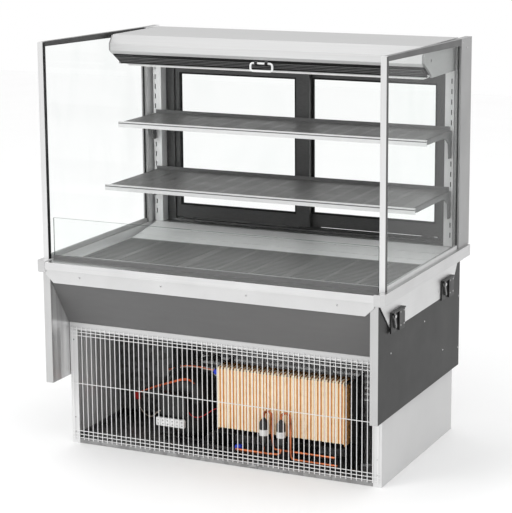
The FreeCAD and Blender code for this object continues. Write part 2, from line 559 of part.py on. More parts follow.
# ---- glazing ------------------------------------------------------------------------------------
def glazing():
    post = box(581, 600, 35, 52, RIM_TOP, POST_TOP).cut(box(583, 598, 37, 50, RIM_TOP - 1, POST_TOP - SHEET))
    save("front_posts", *both_sides(post))
    d0, d1 = 52.2, COLUMN_D0 - GAP
    rail = prism_x([(d0, POST_TOP), (d1, COLUMN_TOP), (d1, COLUMN_TOP - 22), (d0, POST_TOP - 15)], 583, 599)
    groove = prism_x([(d0 - 1, POST_TOP - 10), (d1 + 1, COLUMN_TOP - 12), (d1 + 1, 1300), (d0 - 1, 1300)],
                     585.7, 592.3)
    save("top_rails", *both_sides(rail.cut(groove)))

    pane = prism_x([(53, POST_TOP - 11), (d1 - 1, COLUMN_TOP - 13), (d1 - 1, RIM_TOP + 3), (53, RIM_TOP + 3)],
                   586, 592)
    save("side_glass", *both_sides(pane))
    clip = box(583, 595, 56, d1 - 4, RIM_TOP, RIM_TOP + 13).cut(box(585.7, 592.3, 50, d1, RIM_TOP + 2.5, 700))

    half, g0, g1 = 571.0, 54.5, 59.5
    save("front_glass", box(-half, half, g0, g1, RIM_TOP_FRONT + 3, 786))
    trough = box(-half, half, g0 - 4, g1 + 4, RIM_TOP_FRONT, RIM_TOP_FRONT + 13)
    trough = trough.cut(box(-half - 1, half + 1, g0 - GAP, g1 + GAP, RIM_TOP_FRONT + 2.5, 700))
    save("glass_channels", *both_sides(clip), trough)


# ---- shelves ------------------------------------------------------------------------------------
def shelves():
    pans, strips, brackets = [], [], []
    for shelf in SHELVES.values():
        top, front = shelf["top"], shelf["front"]
        plate = box(-SHELF_HALF, SHELF_HALF, front, SHELF_REAR, top - SHEET, top)
        edges = [box(-SHELF_HALF, SHELF_HALF, front, front + SHEET, top - SHELF_DROP, top),
                 box(-SHELF_HALF, SHELF_HALF, SHELF_REAR - SHEET, SHELF_REAR, top - SHELF_DROP, top + 12)]
        edges += both_sides(box(SHELF_HALF - SHEET, SHELF_HALF, front, SHELF_REAR, top - SHELF_DROP, top))
        slots = []
        for x in range(-520, 520, 65):
            slots += [box(x, x + 50, d, d + 4, top - 5, top + 1)
                      for d in range(int(front) + 20, int(SHELF_REAR) - 20, 16)]
        pans.append(cut(fuse(plate, *edges), *slots))
        face = box(-STRIP_HALF, STRIP_HALF, front - 6, front - 4, top - 18, top + 2)
        hooks = [box(-STRIP_HALF, STRIP_HALF, front - 6, front - GAP, z, z + SHEET) for z in (top - 18, top)]
        strips.append(fuse(face, *hooks))
        brackets += both_sides(shelf_bracket(top, front, shelf["slots"]))
    save("shelf_pans", *pans)
    save("shelf_strips", *strips)
    save("shelf_brackets", *brackets)


def shelf_bracket(top, front, slots):
    """Shallow arm with a short heel at the rear, whose two hooks sit in the pilaster's slots."""
    d_rear = PILASTER_D - 0.5
    drop = top - 94
    outline = [(front + 12, top - 2), (front + 12, top - 16), (d_rear - 70, top - 18),
               (d_rear - 30, top - 42), (d_rear - 24, drop), (d_rear, drop), (d_rear, top - 2)]
    blade = prism_x(outline, SLOT_X - 1.5, SLOT_X + 1.5)
    hooks = []
    for k in slots:
        z = SLOT_Z0 + k * SLOT_PITCH
        hooks.append(box(SLOT_X - 1.5, SLOT_X + 1.5, d_rear - 2, d_rear + 8, z + 2, z + SLOT_HEIGHT - 2))
    ledge = box(SHELF_HALF + GAP, SLOT_X + 1.5, front + 30, d_rear - 10, top - 17, top - 14)
    return fuse(blade, *hooks, ledge)


# ---- condensing unit ----------------------------------------------------------------------------
def condensing_unit():
    x, d = -205.0, 330.0
    foot = SHEET + GAP
    shell = rod((x, d, 66), (x, d, 236), 86)
    shell = shell.makeFillet(30, [e for e in shell.Edges if e.Curve.TypeId == "Part::GeomCircle"])
    bracket = box(x - 100, x + 100, d - 70, d + 70, foot + 14, foot + 18)
    feet = [rod((x + i * 82, d + j * 54, foot), (x + i * 82, d + j * 54, foot + 14), 11)
            for i in (-1, 1) for j in (-1, 1)]
    neck = rod((x, d, foot + 17), (x, d, 75), 60)
    save("compressor", fuse(shell, neck, bracket, *feet))

    cover = box(x - 56, x + 40, d - 138, d - 92, 112, 190)
    block = box(x - 66, x + 40, d - 150, d - 138.3, 80, 108)
    arm = box(x - 10, x + 10, d - 138.3, d - 86.5, 96, 111.5)
    save("terminal_block", block, cover, arm)

    x0, x1, z0, z1 = -48.0, 404.0, 98.0, 286.0
    fins = slots_along(x0 + 6.0, 11.0, 41, lambda fx: box(fx, fx + 2.2, 200, 246, z0, z1))
    tubes = [rod((x0 - 4, td, z), (x1 + 4, td, z), 4) for td in (211, 235) for z in range(112, 282, 24)]
    plates = [box(a, a + SHEET, 196, 250, z0 - 8, z1 + 4) for a in (x0, x1 - SHEET)]
    save("condenser_coil", fuse(tubes[0], *tubes[1:], *fins, *plates))

    tray = box(x0 - 10, x1 + 10, 190, 340, foot, 84).cut(box(x0 - 8, x1 + 8, 188, 342, foot + 2, 82))
    wall = box(x0 - 10, x1 + 10, 256, 258, 86, 300).cut(rod((COND_FAN_X, 250, COND_FAN_Z),
                                                           (COND_FAN_X, 262, COND_FAN_Z), COND_FAN_R + 12))
    hood = box(x0 - 10, x1 + 10, 196, 258, 298, 300)
    cheeks = [box(a, a + SHEET, 253, 340, 84.3, 300) for a in (x0 - 10, x1 + 8)]
    save("condenser_shroud", tray, fuse(wall, hood, *cheeks))

    fx, fz = COND_FAN_X, COND_FAN_Z
    motor = rod((fx, 330, fz), (fx, 392, fz), 42)
    arms = [box(fx - 100, fx + 100, 360, 366, fz - 6, fz + 6), box(fx - 8, fx + 8, 356, 370, 20, fz)]
    base = box(fx - 60, fx + 60, 345, 385, foot, 20)
    save("condenser_motor", fuse(motor, *arms, base).cut(rod((fx, 320, fz), (fx, 360, fz), 4.4)))
    save("condenser_fan", fan(fx, COND_FAN_D, fz, COND_FAN_R, 24, 26, 4.0, 90))


def pipework():
    d, r = DRIER_D, DRIER_R
    driers = []
    for x in DRIER_X:
        body = rod((x, d, DRIER_Z0), (x, d, DRIER_Z1), r)
        ends = [Part.makeCone(r, 4, DRIER_CONE, V(x, FRONT + d, DRIER_Z1), V(0, 0, 1)),
                Part.makeCone(r, 4, DRIER_CONE, V(x, FRONT + d, DRIER_Z0), V(0, 0, -1))]
        driers.append(fuse(body, *ends))
    save("filter_driers", *driers)

    pipe_r = 4.0
    first, second = DRIER_X
    top, bottom = DRIER_Z1 + DRIER_CONE + GAP, DRIER_Z0 - DRIER_CONE - GAP
    runs = [[(first, d, top), (first, d, 180), (164, d, 180), (164, 176, 56), (380, 176, 56)],
            [(second, d, top), (second, d, 180), (227, d, 180), (227, d, 34), (392, d, 34)],
            [(first, d, bottom), (first, d, 40), (-75, d, 40), (-110, 240, 40)],
            [(second, d, bottom), (second, d, 56), (second, 150, 48), (48, 150, 48)]]
    solids = []
    for run in runs:
        pipe = [rod(a, b, pipe_r) for a, b in zip(run, run[1:])]
        bends = [Part.makeSphere(pipe_r, V(p[0], FRONT + p[1], p[2])) for p in run[1:-1]]
        solids.append(fuse(pipe[0], *pipe[1:], *bends))
    save("copper_pipes", *solids)


def services():
    shell = box(-540, -330, 420, 640, 40, 300).cut(box(-538, -332, 419, 638, 42, 298))
    lid = box(-541, -329, 417, 419.7, 39, 301)
    stand = box(-530, -340, 430, 630, SHEET + GAP, 39.7).cut(box(-528, -342, 429, 631, SHEET, 37))
    save("control_box", shell, lid, stand)

    rear = BASE_D1 - SHEET
    bush = rod((GLAND_X, rear - 24, GLAND_Z), (GLAND_X, rear + 14, GLAND_Z), GLAND_R)
    nuts = [rod((GLAND_X, d, GLAND_Z), (GLAND_X, d + 6, GLAND_Z), GLAND_R + 5)
            for d in (rear + 0.1, rear - 8.1)]
    bore = rod((GLAND_X, rear - 30, GLAND_Z), (GLAND_X, rear + 20, GLAND_Z), GLAND_R - 6)
    save("cord_gland", fuse(bush, *nuts).cut(bore))


def screws():
    """Pan-head screws on the aprons, leg panels, base posts and columns."""
    front = [(-448, 6, 605), (456, 6, 605), (-150, 6, 605), (150, 6, 605)]
    heads = [rod((x, d, z), (x, d - 1.6, z), 3.5) for x, d, z in front]
    side = [(APRON_X + SHEET, d, z) for d, z in ((369, 604), (700, 604))]
    side += [(PANEL_OUTER, d, z) for d, z in ((120, 440), (420, 470), (600, 330), (755, 300), (755, 480))]
    side += [(COLUMN_OUTER, d, z) for d, z in ((775, 1319), (731, 1340), (731, 700))]
    heads += both_sides(*[rod((x, d, z), (x + 1.6, d, z), 3.0) for x, d, z in side])
    post = [(546, BASE_D0, z) for z in (40, 90, 360)]
    heads += both_sides(*[rod((x, d, z), (x, d - 1.4, z), 2.6) for x, d, z in post])
    save("panel_screws", *heads)


base_cabinet()
front_grille()
side_panels()
well()
deck()
intake_grille()
duct_panel()
evaporator()
rim()
aprons()
clamps()
rear_wall()
door_frame()
sliding_door("left")
sliding_door("right")
canopy()
night_curtain()
glazing()
shelves()
condensing_unit()
pipework()
services()
screws()
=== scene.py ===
"""Looks of the drop-in refrigerated display case: materials, fittings, curtain cloth, studio and camera."""
import math

import bmesh
import bpy
from mathutils import Matrix, Vector


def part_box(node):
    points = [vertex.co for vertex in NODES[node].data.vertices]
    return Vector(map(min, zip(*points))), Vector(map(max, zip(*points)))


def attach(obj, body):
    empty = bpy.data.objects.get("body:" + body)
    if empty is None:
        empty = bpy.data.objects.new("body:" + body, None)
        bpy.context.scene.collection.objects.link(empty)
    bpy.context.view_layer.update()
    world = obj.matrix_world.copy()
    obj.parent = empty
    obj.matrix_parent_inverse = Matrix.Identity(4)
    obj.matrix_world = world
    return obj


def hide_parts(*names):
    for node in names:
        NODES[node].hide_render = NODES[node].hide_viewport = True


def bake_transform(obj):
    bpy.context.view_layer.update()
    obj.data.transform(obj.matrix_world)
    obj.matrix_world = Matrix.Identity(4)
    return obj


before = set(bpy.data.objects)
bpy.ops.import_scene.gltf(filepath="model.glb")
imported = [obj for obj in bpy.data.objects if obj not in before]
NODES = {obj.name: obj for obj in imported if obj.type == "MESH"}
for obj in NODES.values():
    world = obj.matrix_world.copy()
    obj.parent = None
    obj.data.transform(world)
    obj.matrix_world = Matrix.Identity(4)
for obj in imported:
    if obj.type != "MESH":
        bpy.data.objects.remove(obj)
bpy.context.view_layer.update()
MM = 0.001
RIM_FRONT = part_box("rim_sides")[0].y


def spot(x, depth, z):
    """Point from millimetres: across, behind the rim's front edge, and above the floor."""
    return Vector((x * MM, RIM_FRONT + depth * MM, z * MM))


# ---- shader helpers ----
def tone(r, g=None, b=None):
    """Linear colour from display values between 0 and 1; one value gives a grey."""
    values = (r, r if g is None else g, r if b is None else b)
    return tuple(((v + 0.055) / 1.055) ** 2.4 if v > 0.04045 else v / 12.92 for v in values) + (1.0,)


def scaled(colour, gain, lift=0.0):
    """Colour multiplied by a gain and lifted, clipped at 1."""
    return tuple(min(1.0, gain * c + lift) for c in colour[:3]) + (1.0,)


class Shade:
    """One material's node tree around a Principled shader, with short calls for the usual nodes."""

    def __init__(self, name):
        self.material = bpy.data.materials.new(name)
        self.material.use_nodes = True
        self.tree = self.material.node_tree
        self.tree.nodes.clear()
        self.out = self.node("ShaderNodeOutputMaterial")
        self.shader = self.node("ShaderNodeBsdfPrincipled")
        self.link(self.shader.outputs["BSDF"], self.out.inputs["Surface"])
        self.place = self.node("ShaderNodeTexCoord").outputs["Object"]

    def node(self, kind, **values):
        made = self.tree.nodes.new(kind)
        for key, value in values.items():
            setattr(made, key, value)
        return made

    def link(self, source, target):
        self.tree.links.new(source, target)

    def feed(self, source, target):
        """Links a socket, or sets a plain value."""
        if isinstance(source, bpy.types.NodeSocket):
            self.link(source, target)
        else:
            target.default_value = source

    def set(self, **values):
        for key, value in values.items():
            self.feed(value, self.shader.inputs[key.replace("_", " ")])

    def stretched(self, scale):
        mapping = self.node("ShaderNodeMapping")
        self.link(self.place, mapping.inputs["Vector"])
        mapping.inputs["Scale"].default_value = scale
        return mapping.outputs["Vector"]

    def noise(self, scale, detail=4.0, roughness=0.55, where=None, distortion=0.0):
        made = self.node("ShaderNodeTexNoise")
        self.link(where or self.place, made.inputs["Vector"])
        made.inputs["Scale"].default_value = scale
        made.inputs["Detail"].default_value = detail
        made.inputs["Roughness"].default_value = roughness
        made.inputs["Distortion"].default_value = distortion
        return made.outputs["Fac"]

    def cells(self, scale, where=None):
        made = self.node("ShaderNodeTexVoronoi")
        self.link(where or self.place, made.inputs["Vector"])
        made.inputs["Scale"].default_value = scale
        return made

    def wave(self, scale, axis, distortion=0.0):
        made = self.node("ShaderNodeTexWave", bands_direction=axis)
        self.link(self.place, made.inputs["Vector"])
        made.inputs["Scale"].default_value = scale
        made.inputs["Distortion"].default_value = distortion
        return made.outputs["Fac"]

    def range(self, value, low, high, to_low=0.0, to_high=1.0):
        made = self.node("ShaderNodeMapRange")
        self.feed(value, made.inputs["Value"])
        for key, number in (("From Min", low), ("From Max", high), ("To Min", to_low), ("To Max", to_high)):
            made.inputs[key].default_value = number
        return made.outputs["Result"]

    def math(self, operation, a, b=0.0):
        made = self.node("ShaderNodeMath", operation=operation)
        self.feed(a, made.inputs[0])
        self.feed(b, made.inputs[1])
        return made.outputs[0]

    def times(self, a, b):
        return self.math("MULTIPLY", a, b)

    def streaks(self, scale, detail=4.0, roughness=0.6, distortion=0.0):
        """Noise drawn out along the axes whose scale is small."""
        return self.noise(1.0, detail, roughness, self.stretched(scale), distortion)

    def grey(self, value, level, down=0.03, up=0.03):
        """Grey around a level, varied by a noise value."""
        return self.mix(self.range(value, 0.3, 0.7), tone(level - down), tone(level + up))

    def mix(self, share, a, b):
        """Colour a to colour b by share."""
        made = self.node("ShaderNodeMix", data_type="RGBA")
        self.feed(share, made.inputs["Factor"])
        self.feed(a, made.inputs[6])
        self.feed(b, made.inputs[7])
        return made.outputs[2]

    def axis(self, name):
        split = self.node("ShaderNodeSeparateXYZ")
        self.link(self.place, split.inputs[0])
        return split.outputs[name]

    def facing(self, direction):
        """How far the surface faces a direction, from -1 to 1."""
        made = self.node("ShaderNodeVectorMath", operation="DOT_PRODUCT")
        self.link(self.node("ShaderNodeNewGeometry").outputs["Normal"], made.inputs[0])
        made.inputs[1].default_value = direction
        return made.outputs["Value"]

    def inner_faces(self, start, full):
        """Mask of 0 to 1, high on the faces turned sideways to the middle of the case."""
        return self.range(self.times(self.facing((1, 0, 0)), self.math("SIGN", self.axis("X"))), start, full)

    def bump(self, height, distance, strength=1.0, edge=0.0):
        """Finishes the material with a bump; edge rounds the solid's corners by that radius, in metres."""
        made = self.node("ShaderNodeBump")
        made.inputs["Strength"].default_value = strength
        made.inputs["Distance"].default_value = distance
        self.feed(height, made.inputs["Height"])
        if edge:
            bevel = self.node("ShaderNodeBevel", samples=4)
            bevel.inputs["Radius"].default_value = edge
            self.link(bevel.outputs["Normal"], made.inputs["Normal"])
        self.link(made.outputs["Normal"], self.shader.inputs["Normal"])
        return self.material

    def worn_edges(self, radius, grain=260.0):
        """Mask of 0 to 1, high on corners, broken up by grain."""
        bevel = self.node("ShaderNodeBevel", samples=4)
        bevel.inputs["Radius"].default_value = radius
        dot = self.node("ShaderNodeVectorMath", operation="DOT_PRODUCT")
        self.link(bevel.outputs["Normal"], dot.inputs[0])
        self.link(self.node("ShaderNodeNewGeometry").outputs["Normal"], dot.inputs[1])
        corner = self.range(dot.outputs["Value"], 0.995, 0.80)
        return self.times(corner, self.range(self.noise(grain, 3.0), 0.42, 0.68))


# ---- materials ----
GRAIN = {"X": (3, 900, 900), "Y": (900, 3, 900), "Z": (900, 900, 3)}


def steel(name, grain="X", bright=0.80, rough=0.27, streak=0.06, metal=1.0, inward=None):
    """Brushed stainless sheet: fine grain along one axis, cloudy wiping marks, soft corners.

    The inward tone is for the faces turned to the middle of the case, which are satin.
    """
    s = Shade(name)
    fine = s.streaks(GRAIN[grain], 5.0, 0.65)
    long = s.streaks(tuple(v / 18 for v in GRAIN[grain]), 2.0, 0.5)
    cloud = s.noise(5.0, 3.0)
    colour = s.grey(fine, bright, streak, streak * 0.6)
    colour = s.mix(s.range(cloud, 0.35, 0.75, 0.0, 0.22), colour, tone(bright - 0.14))
    if inward is not None:
        inner = s.inner_faces(-0.4, -0.8)
        colour = s.mix(inner, colour, s.grey(fine, inward, up=0.02))
        metal = s.range(inner, 0.0, 1.0, metal, 0.2)
    wiped = s.range(cloud, 0.4, 0.7, 0.0, 0.06)
    s.set(Base_Color=colour, Metallic=metal, Anisotropic=0.35,
          Roughness=s.math("ADD", s.range(fine, 0.2, 0.8, rough - 0.05, rough + 0.09), wiped))
    return s.bump(s.math("ADD", fine, s.times(long, 0.6)), 0.00002, 0.35, 0.0011)


def paint(name, colour, rough=0.38, peel=0.35, chip=None, dust=0.0):
    """Baked enamel on sheet: orange peel, slight mottling, rubbed corners and settled dust."""
    s = Shade(name)
    mottle = s.noise(7.0, 4.0)
    shade = s.mix(s.range(mottle, 0.3, 0.75, 0.0, 0.16), colour, scaled(colour, 0.78))
    if dust:
        settled = s.times(s.range(s.facing((0, 0, 1)), 0.4, 0.9, 0.0, dust), s.noise(60.0, 5.0))
        shade = s.mix(settled, shade, tone(0.62, 0.60, 0.57))
    worn = s.worn_edges(0.0016)
    shade = s.mix(s.times(worn, 0.55), shade, chip or scaled(colour, 1.5, 0.03))
    scuff = s.streaks((14, 14, 60), 3.0)
    s.set(Base_Color=shade, Metallic=0.0, Specular_IOR_Level=0.5,
          Roughness=s.math("ADD", s.range(scuff, 0.3, 0.8, rough - 0.06, rough + 0.10), s.times(worn, 0.12)))
    return s.bump(s.noise(520.0, 2.0), 0.00006, peel, 0.0012)


def two_faced(name, front, outside, inside_bright, inside_rough, metal=1.0):
    """Sheet that is painted outside and bare polished steel on the faces turned to the middle of the case; the
    lighter front tone is painted light and the dark vertical streaks on the bare steel are painted reflections.
    """
    s = Shade(name)
    inner = s.inner_faces(-0.4, -0.6)
    mottle = s.noise(6.0, 4.0)
    skin = s.mix(s.range(mottle, 0.3, 0.8, 0.0, 0.18), outside, scaled(outside, 0.8))
    # Painted light: faces turned to the front take the front tone, which on the base sides is lighter than the
    # side faces.
    skin = s.mix(s.range(s.facing((0, -1, 0)), 0.6, 0.9), skin, front)
    skin = s.mix(s.times(s.worn_edges(0.0016), 0.5), skin, scaled(outside, 1.4, 0.05))
    # Painted reflections: the bare steel is darker in long vertical streaks.
    streaks = s.streaks((30, 30, 1.5))
    bare = s.mix(s.range(streaks, 0.35, 0.65), tone(inside_bright - 0.22), tone(inside_bright))
    grain = s.streaks(GRAIN["Z"])
    s.set(Base_Color=s.mix(inner, skin, bare), Metallic=s.times(inner, metal), Specular_IOR_Level=0.25,
          Roughness=s.math("ADD", s.times(inner, inside_rough - 0.40), s.range(mottle, 0.3, 0.8, 0.38, 0.46)))
    return s.bump(s.math("ADD", s.noise(500.0, 2.0), grain), 0.00004, 0.3, 0.0012)


def canopy_skin(name):
    """White satin sheet, rolled lengthwise; the roof face is painted greyer than the nose, painted shade for
    the darker reflection on the roof.
    """
    s = Shade(name)
    rolled = s.streaks((2.5, 420, 420))
    # Painted shade: faces turning upwards are painted darker, darkest on the roof.
    up = s.facing((0, 0, 1))
    colour = s.mix(s.range(up, 0.2, 0.6), tone(0.81), tone(0.77))
    colour = s.mix(s.range(up, 0.85, 0.97), colour, tone(0.66))
    colour = s.mix(s.range(rolled, 0.35, 0.65, 0.0, 0.35), colour, tone(0.72))
    colour = s.mix(s.times(s.worn_edges(0.0014), 0.5), colour, tone(0.93))
    s.set(Base_Color=colour, Metallic=0.15, Roughness=s.range(rolled, 0.3, 0.7, 0.34, 0.46))
    return s.bump(rolled, 0.00004, 0.4, 0.0012)


def post_steel(name, face, shaded_flank):
    """Steel section with a bright front face and dark side faces: the dark sides are painted shade."""
    s = Shade(name)
    # Painted shade: faces turned along X are darker and less metallic.
    dark = s.range(s.math("ABSOLUTE", s.facing((1, 0, 0))), 0.6, 0.9)
    grain = s.streaks(GRAIN["Z"])
    s.set(Base_Color=s.mix(dark, s.grey(grain, face, up=0.02), s.grey(grain, shaded_flank, down=0.02)),
          Metallic=s.math("SUBTRACT", 1.0, s.times(dark, 0.4)),
          Roughness=s.range(grain, 0.3, 0.7, 0.26, 0.36))
    return s.bump(grain, 0.00002, 0.35, 0.0010)


def ribbed_bar(name):
    """Black extrusion whose raised ribs are lighter grey."""
    s = Shade(name)
    outward = Vector((0, -0.5408, -0.8412))
    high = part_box("curtain_bar")[1]
    back = outward.dot((0, high.y - 56.0 * MM, high.z))
    height = s.node("ShaderNodeVectorMath", operation="DOT_PRODUCT")
    s.link(s.place, height.inputs[0])
    height.inputs[1].default_value = outward
    above = s.math("SUBTRACT", height.outputs["Value"], back)
    rub = s.streaks((30, 300, 300))
    rib = s.times(s.range(above, 5.9 * MM, 6.2 * MM), s.range(above, 7.2 * MM, 6.9 * MM))
    down = s.math("DIVIDE", s.math("SUBTRACT", s.axis("Y"), high.y - 56.0 * MM), 0.8412)
    for low_end, high_end in ((23.0, 30.0), (45.0, 52.0)):
        between = s.times(s.range(down, low_end * MM - 0.0005, low_end * MM),
                         s.range(down, high_end * MM + 0.0005, high_end * MM))
        rib = s.times(rib, s.math("SUBTRACT", 1.0, between))
    colour = s.mix(rib, tone(0.07), s.mix(s.range(rub, 0.3, 0.7), tone(0.50), tone(0.62)))
    s.set(Base_Color=colour, Metallic=0.0, Specular_IOR_Level=0.3,
          Roughness=s.range(rub, 0.3, 0.7, 0.42, 0.55))
    return s.bump(rub, 0.00003, 0.3, 0.0006)


def galvanised(name, bright=0.62):
    s = Shade(name)
    flakes = s.cells(70.0)
    split = s.node("ShaderNodeSeparateColor")
    s.link(flakes.outputs["Color"], split.inputs[0])
    flake = split.outputs[0]
    stain = s.noise(4.0, 5.0)
    colour = s.mix(s.range(flake, 0, 1), tone(bright - 0.09), tone(bright + 0.06))
    colour = s.mix(s.range(stain, 0.5, 0.8, 0, 0.4), colour, tone(0.42, 0.40, 0.37))
    s.set(Base_Color=colour, Metallic=0.9, Roughness=s.range(flake, 0, 1, 0.34, 0.52))
    return s.bump(stain, 0.0001, 0.2, 0.001)


def anodised(name, grey, rough=0.34, metallic=0.85, rub=0.5, rubbed=None, front=None):
    """Anodised section with rubbed corners; the front grey is for what lies between the side channels, and its
    darker tone on the glass channels is painted shade of the gap at the glass foot.
    """
    s = Shade(name)
    fine = s.streaks((60, 900, 900))
    colour = s.grey(fine, grey)
    if front is not None:
        # Painted shade: the middle run between the side channels takes the darker front grey.
        colour = s.mix(s.range(s.math("ABSOLUTE", s.axis("X")), 0.575, 0.570), colour, s.grey(fine, front))
    colour = s.mix(s.times(s.worn_edges(0.0012), rub), colour, tone(rubbed or min(1.0, grey + 0.25)))
    cloud = s.range(s.noise(9.0, 3.0), 0.3, 0.7, rough - 0.05, rough + 0.07)
    s.set(Base_Color=colour, Metallic=metallic, Roughness=cloud)
    return s.bump(fine, 0.00002, 0.3, 0.0009)


def plastic(name, colour, rough=0.45, grain=900.0, wear=0.25):
    s = Shade(name)
    mottle = s.noise(22.0, 4.0)
    shade = s.mix(s.range(mottle, 0.3, 0.8, 0.0, 0.2), colour, scaled(colour, 0.72))
    shade = s.mix(s.times(s.worn_edges(0.0009), wear), shade, scaled(colour, 1.0, 0.16))
    s.set(Base_Color=shade, Roughness=s.range(mottle, 0.3, 0.7, rough - 0.06, rough + 0.08))
    return s.bump(s.noise(grain, 2.0), 0.00005, 0.45, 0.0009)


def glass(name, tint, edges=(), rough=0.012):
    """Clear pane with wiping smears and green cut edges; lamp rays pass straight through it."""
    s = Shade(name)
    cut = 0.0
    for direction in edges:
        cut = s.math("MAXIMUM", cut, s.range(s.math("ABSOLUTE", s.facing(direction)), 0.6, 0.9))
    smear = s.streaks((5, 9, 3), distortion=0.6)
    face = s.mix(s.range(smear, 0.45, 0.8, 0.0, 0.25), tint, tone(0.90, 0.93, 0.92))
    s.set(Base_Color=s.mix(cut, face, tone(0.30, 0.36, 0.34)),
          Transmission_Weight=s.math("SUBTRACT", 1.0, s.times(cut, 0.7)), IOR=1.1,
          Roughness=s.range(smear, 0.5, 0.85, rough, rough + 0.05))
    ray = s.node("ShaderNodeLightPath")
    clear = s.node("ShaderNodeBsdfTransparent")
    clear.inputs["Color"].default_value = (0.93, 0.96, 0.95, 1.0)
    choose = s.node("ShaderNodeMixShader")
    s.link(ray.outputs["Is Shadow Ray"], choose.inputs[0])
    s.link(s.shader.outputs["BSDF"], choose.inputs[1])
    s.link(clear.outputs["BSDF"], choose.inputs[2])
    s.link(choose.outputs["Shader"], s.out.inputs["Surface"])
    return s.material


def expanded_mesh(name, web, opening_shade):
    """Expanded metal: light diamond webs with the gaps between them painted dark, painted shade for the
    openings, 7 mm by 4 mm.
    """
    s = Shade(name)
    first, second = (s.math("ADD", s.times(s.axis("X"), a), s.times(s.axis("Y"), b))
                     for a, b in ((140.0, 240.0), (140.0, -240.0)))
    near = [s.math("ABSOLUTE", s.math("SUBTRACT", s.math("FRACT", line), 0.5)) for line in (first, second)]
    edge = s.range(s.math("MAXIMUM", *near), 0.27, 0.33)
    up = s.range(s.facing((0, 0, 1)), 0.5, 0.9)
    grime = s.noise(30.0, 4.0)
    light = s.mix(s.range(grime, 0.4, 0.75, 0.0, 0.4), web, tone(0.62))
    # Painted shade: away from the webs the upward faces take the dark opening tone.
    painted_opening_shade = s.times(up, s.math("SUBTRACT", 1.0, edge))
    s.set(Base_Color=s.mix(painted_opening_shade, light, opening_shade), Metallic=0.2,
          Roughness=s.range(grime, 0.3, 0.7, 0.38, 0.55))
    return s.bump(edge, 0.0006, 0.7)


def copper_tube(name):
    s = Shade(name)
    age = s.noise(30.0, 5.0)
    colour = s.mix(s.range(age, 0.4, 0.7), tone(0.84, 0.50, 0.34), tone(0.52, 0.28, 0.18))
    s.set(Base_Color=colour, Metallic=0.95, Roughness=s.range(age, 0.3, 0.7, 0.25, 0.45))
    return s.bump(s.noise(300.0, 3.0), 0.00005, 0.3)


def coil_fins(name, colour, shade):
    """Lacquered condenser fin, dusty, turning brown towards the back of the top fold."""
    s = Shade(name)
    dusty = s.noise(45.0, 6.0)
    fold = s.range(s.axis("Y"), RIM_FRONT + 0.222, RIM_FRONT + 0.232)
    base = s.mix(s.range(dusty, 0.45, 0.75, 0.0, 0.5), colour, shade)
    s.set(Base_Color=s.mix(fold, base, s.mix(dusty, tone(0.42, 0.26, 0.10), tone(0.68, 0.48, 0.24))),
          Metallic=0.0, Roughness=s.range(dusty, 0.3, 0.7, 0.42, 0.6))
    return s.bump(dusty, 0.0002, 0.3)


def foam(name):
    s = Shade(name)
    cells = s.cells(420.0)
    lumps = s.noise(14.0, 4.0)
    s.set(Base_Color=s.mix(lumps, tone(0.86, 0.78, 0.55), tone(0.74, 0.62, 0.38)), Roughness=0.85)
    return s.bump(cells.outputs["Distance"], 0.0006, 0.8)


def woven(name, colour):
    """Curtain cloth: plain weave of about 0.8 mm with slubs."""
    s = Shade(name)
    warp = s.wave(620.0, "X", 0.6)
    weft = s.wave(620.0, "Z", 0.6)
    weave = s.times(warp, weft)
    slub = s.streaks((20, 400, 400))
    shade = s.mix(weave, scaled(colour, 0.62), colour)
    shade = s.mix(s.range(slub, 0.5, 0.8, 0.0, 0.4), shade, scaled(colour, 0.8))
    s.set(Base_Color=shade, Roughness=0.82, Sheen_Weight=0.35, Sheen_Roughness=0.5)
    return s.bump(weave, 0.0002, 0.7)


def lamp_lens(name):
    """White lamp housing whose lower face is a lit diffuser with fine prisms."""
    s = Shade(name)
    prisms = s.wave(260.0, "X")
    lens_top = 1.2421
    low = s.range(s.axis("Z"), lens_top, lens_top - 0.0003)
    s.set(Base_Color=s.mix(prisms, tone(0.90), tone(0.97)),
          Roughness=s.range(s.noise(40.0), 0.3, 0.7, 0.3, 0.45),
          Emission_Color=tone(1.0, 0.99, 0.96), Emission_Strength=s.times(low, 0.12))
    return s.bump(prisms, 0.0003, 0.4)


def banded(name, dark, light, bands):
    """Dark enamel with plain light bands between pairs of heights, in metres."""
    s = Shade(name)
    z = s.axis("Z")
    share = None
    for low, high in bands:
        inside = s.times(s.range(z, low - 0.0003, low), s.range(z, high + 0.0003, high))
        share = inside if share is None else s.math("MAXIMUM", share, inside)
    rub = s.noise(120.0, 4.0)
    colour = s.mix(share, dark, s.mix(s.range(rub, 0.5, 0.8, 0, 0.3), light, tone(0.6)))
    s.set(Base_Color=colour, Roughness=s.range(rub, 0.3, 0.7, 0.3, 0.5))
    return s.bump(rub, 0.00008, 0.4)


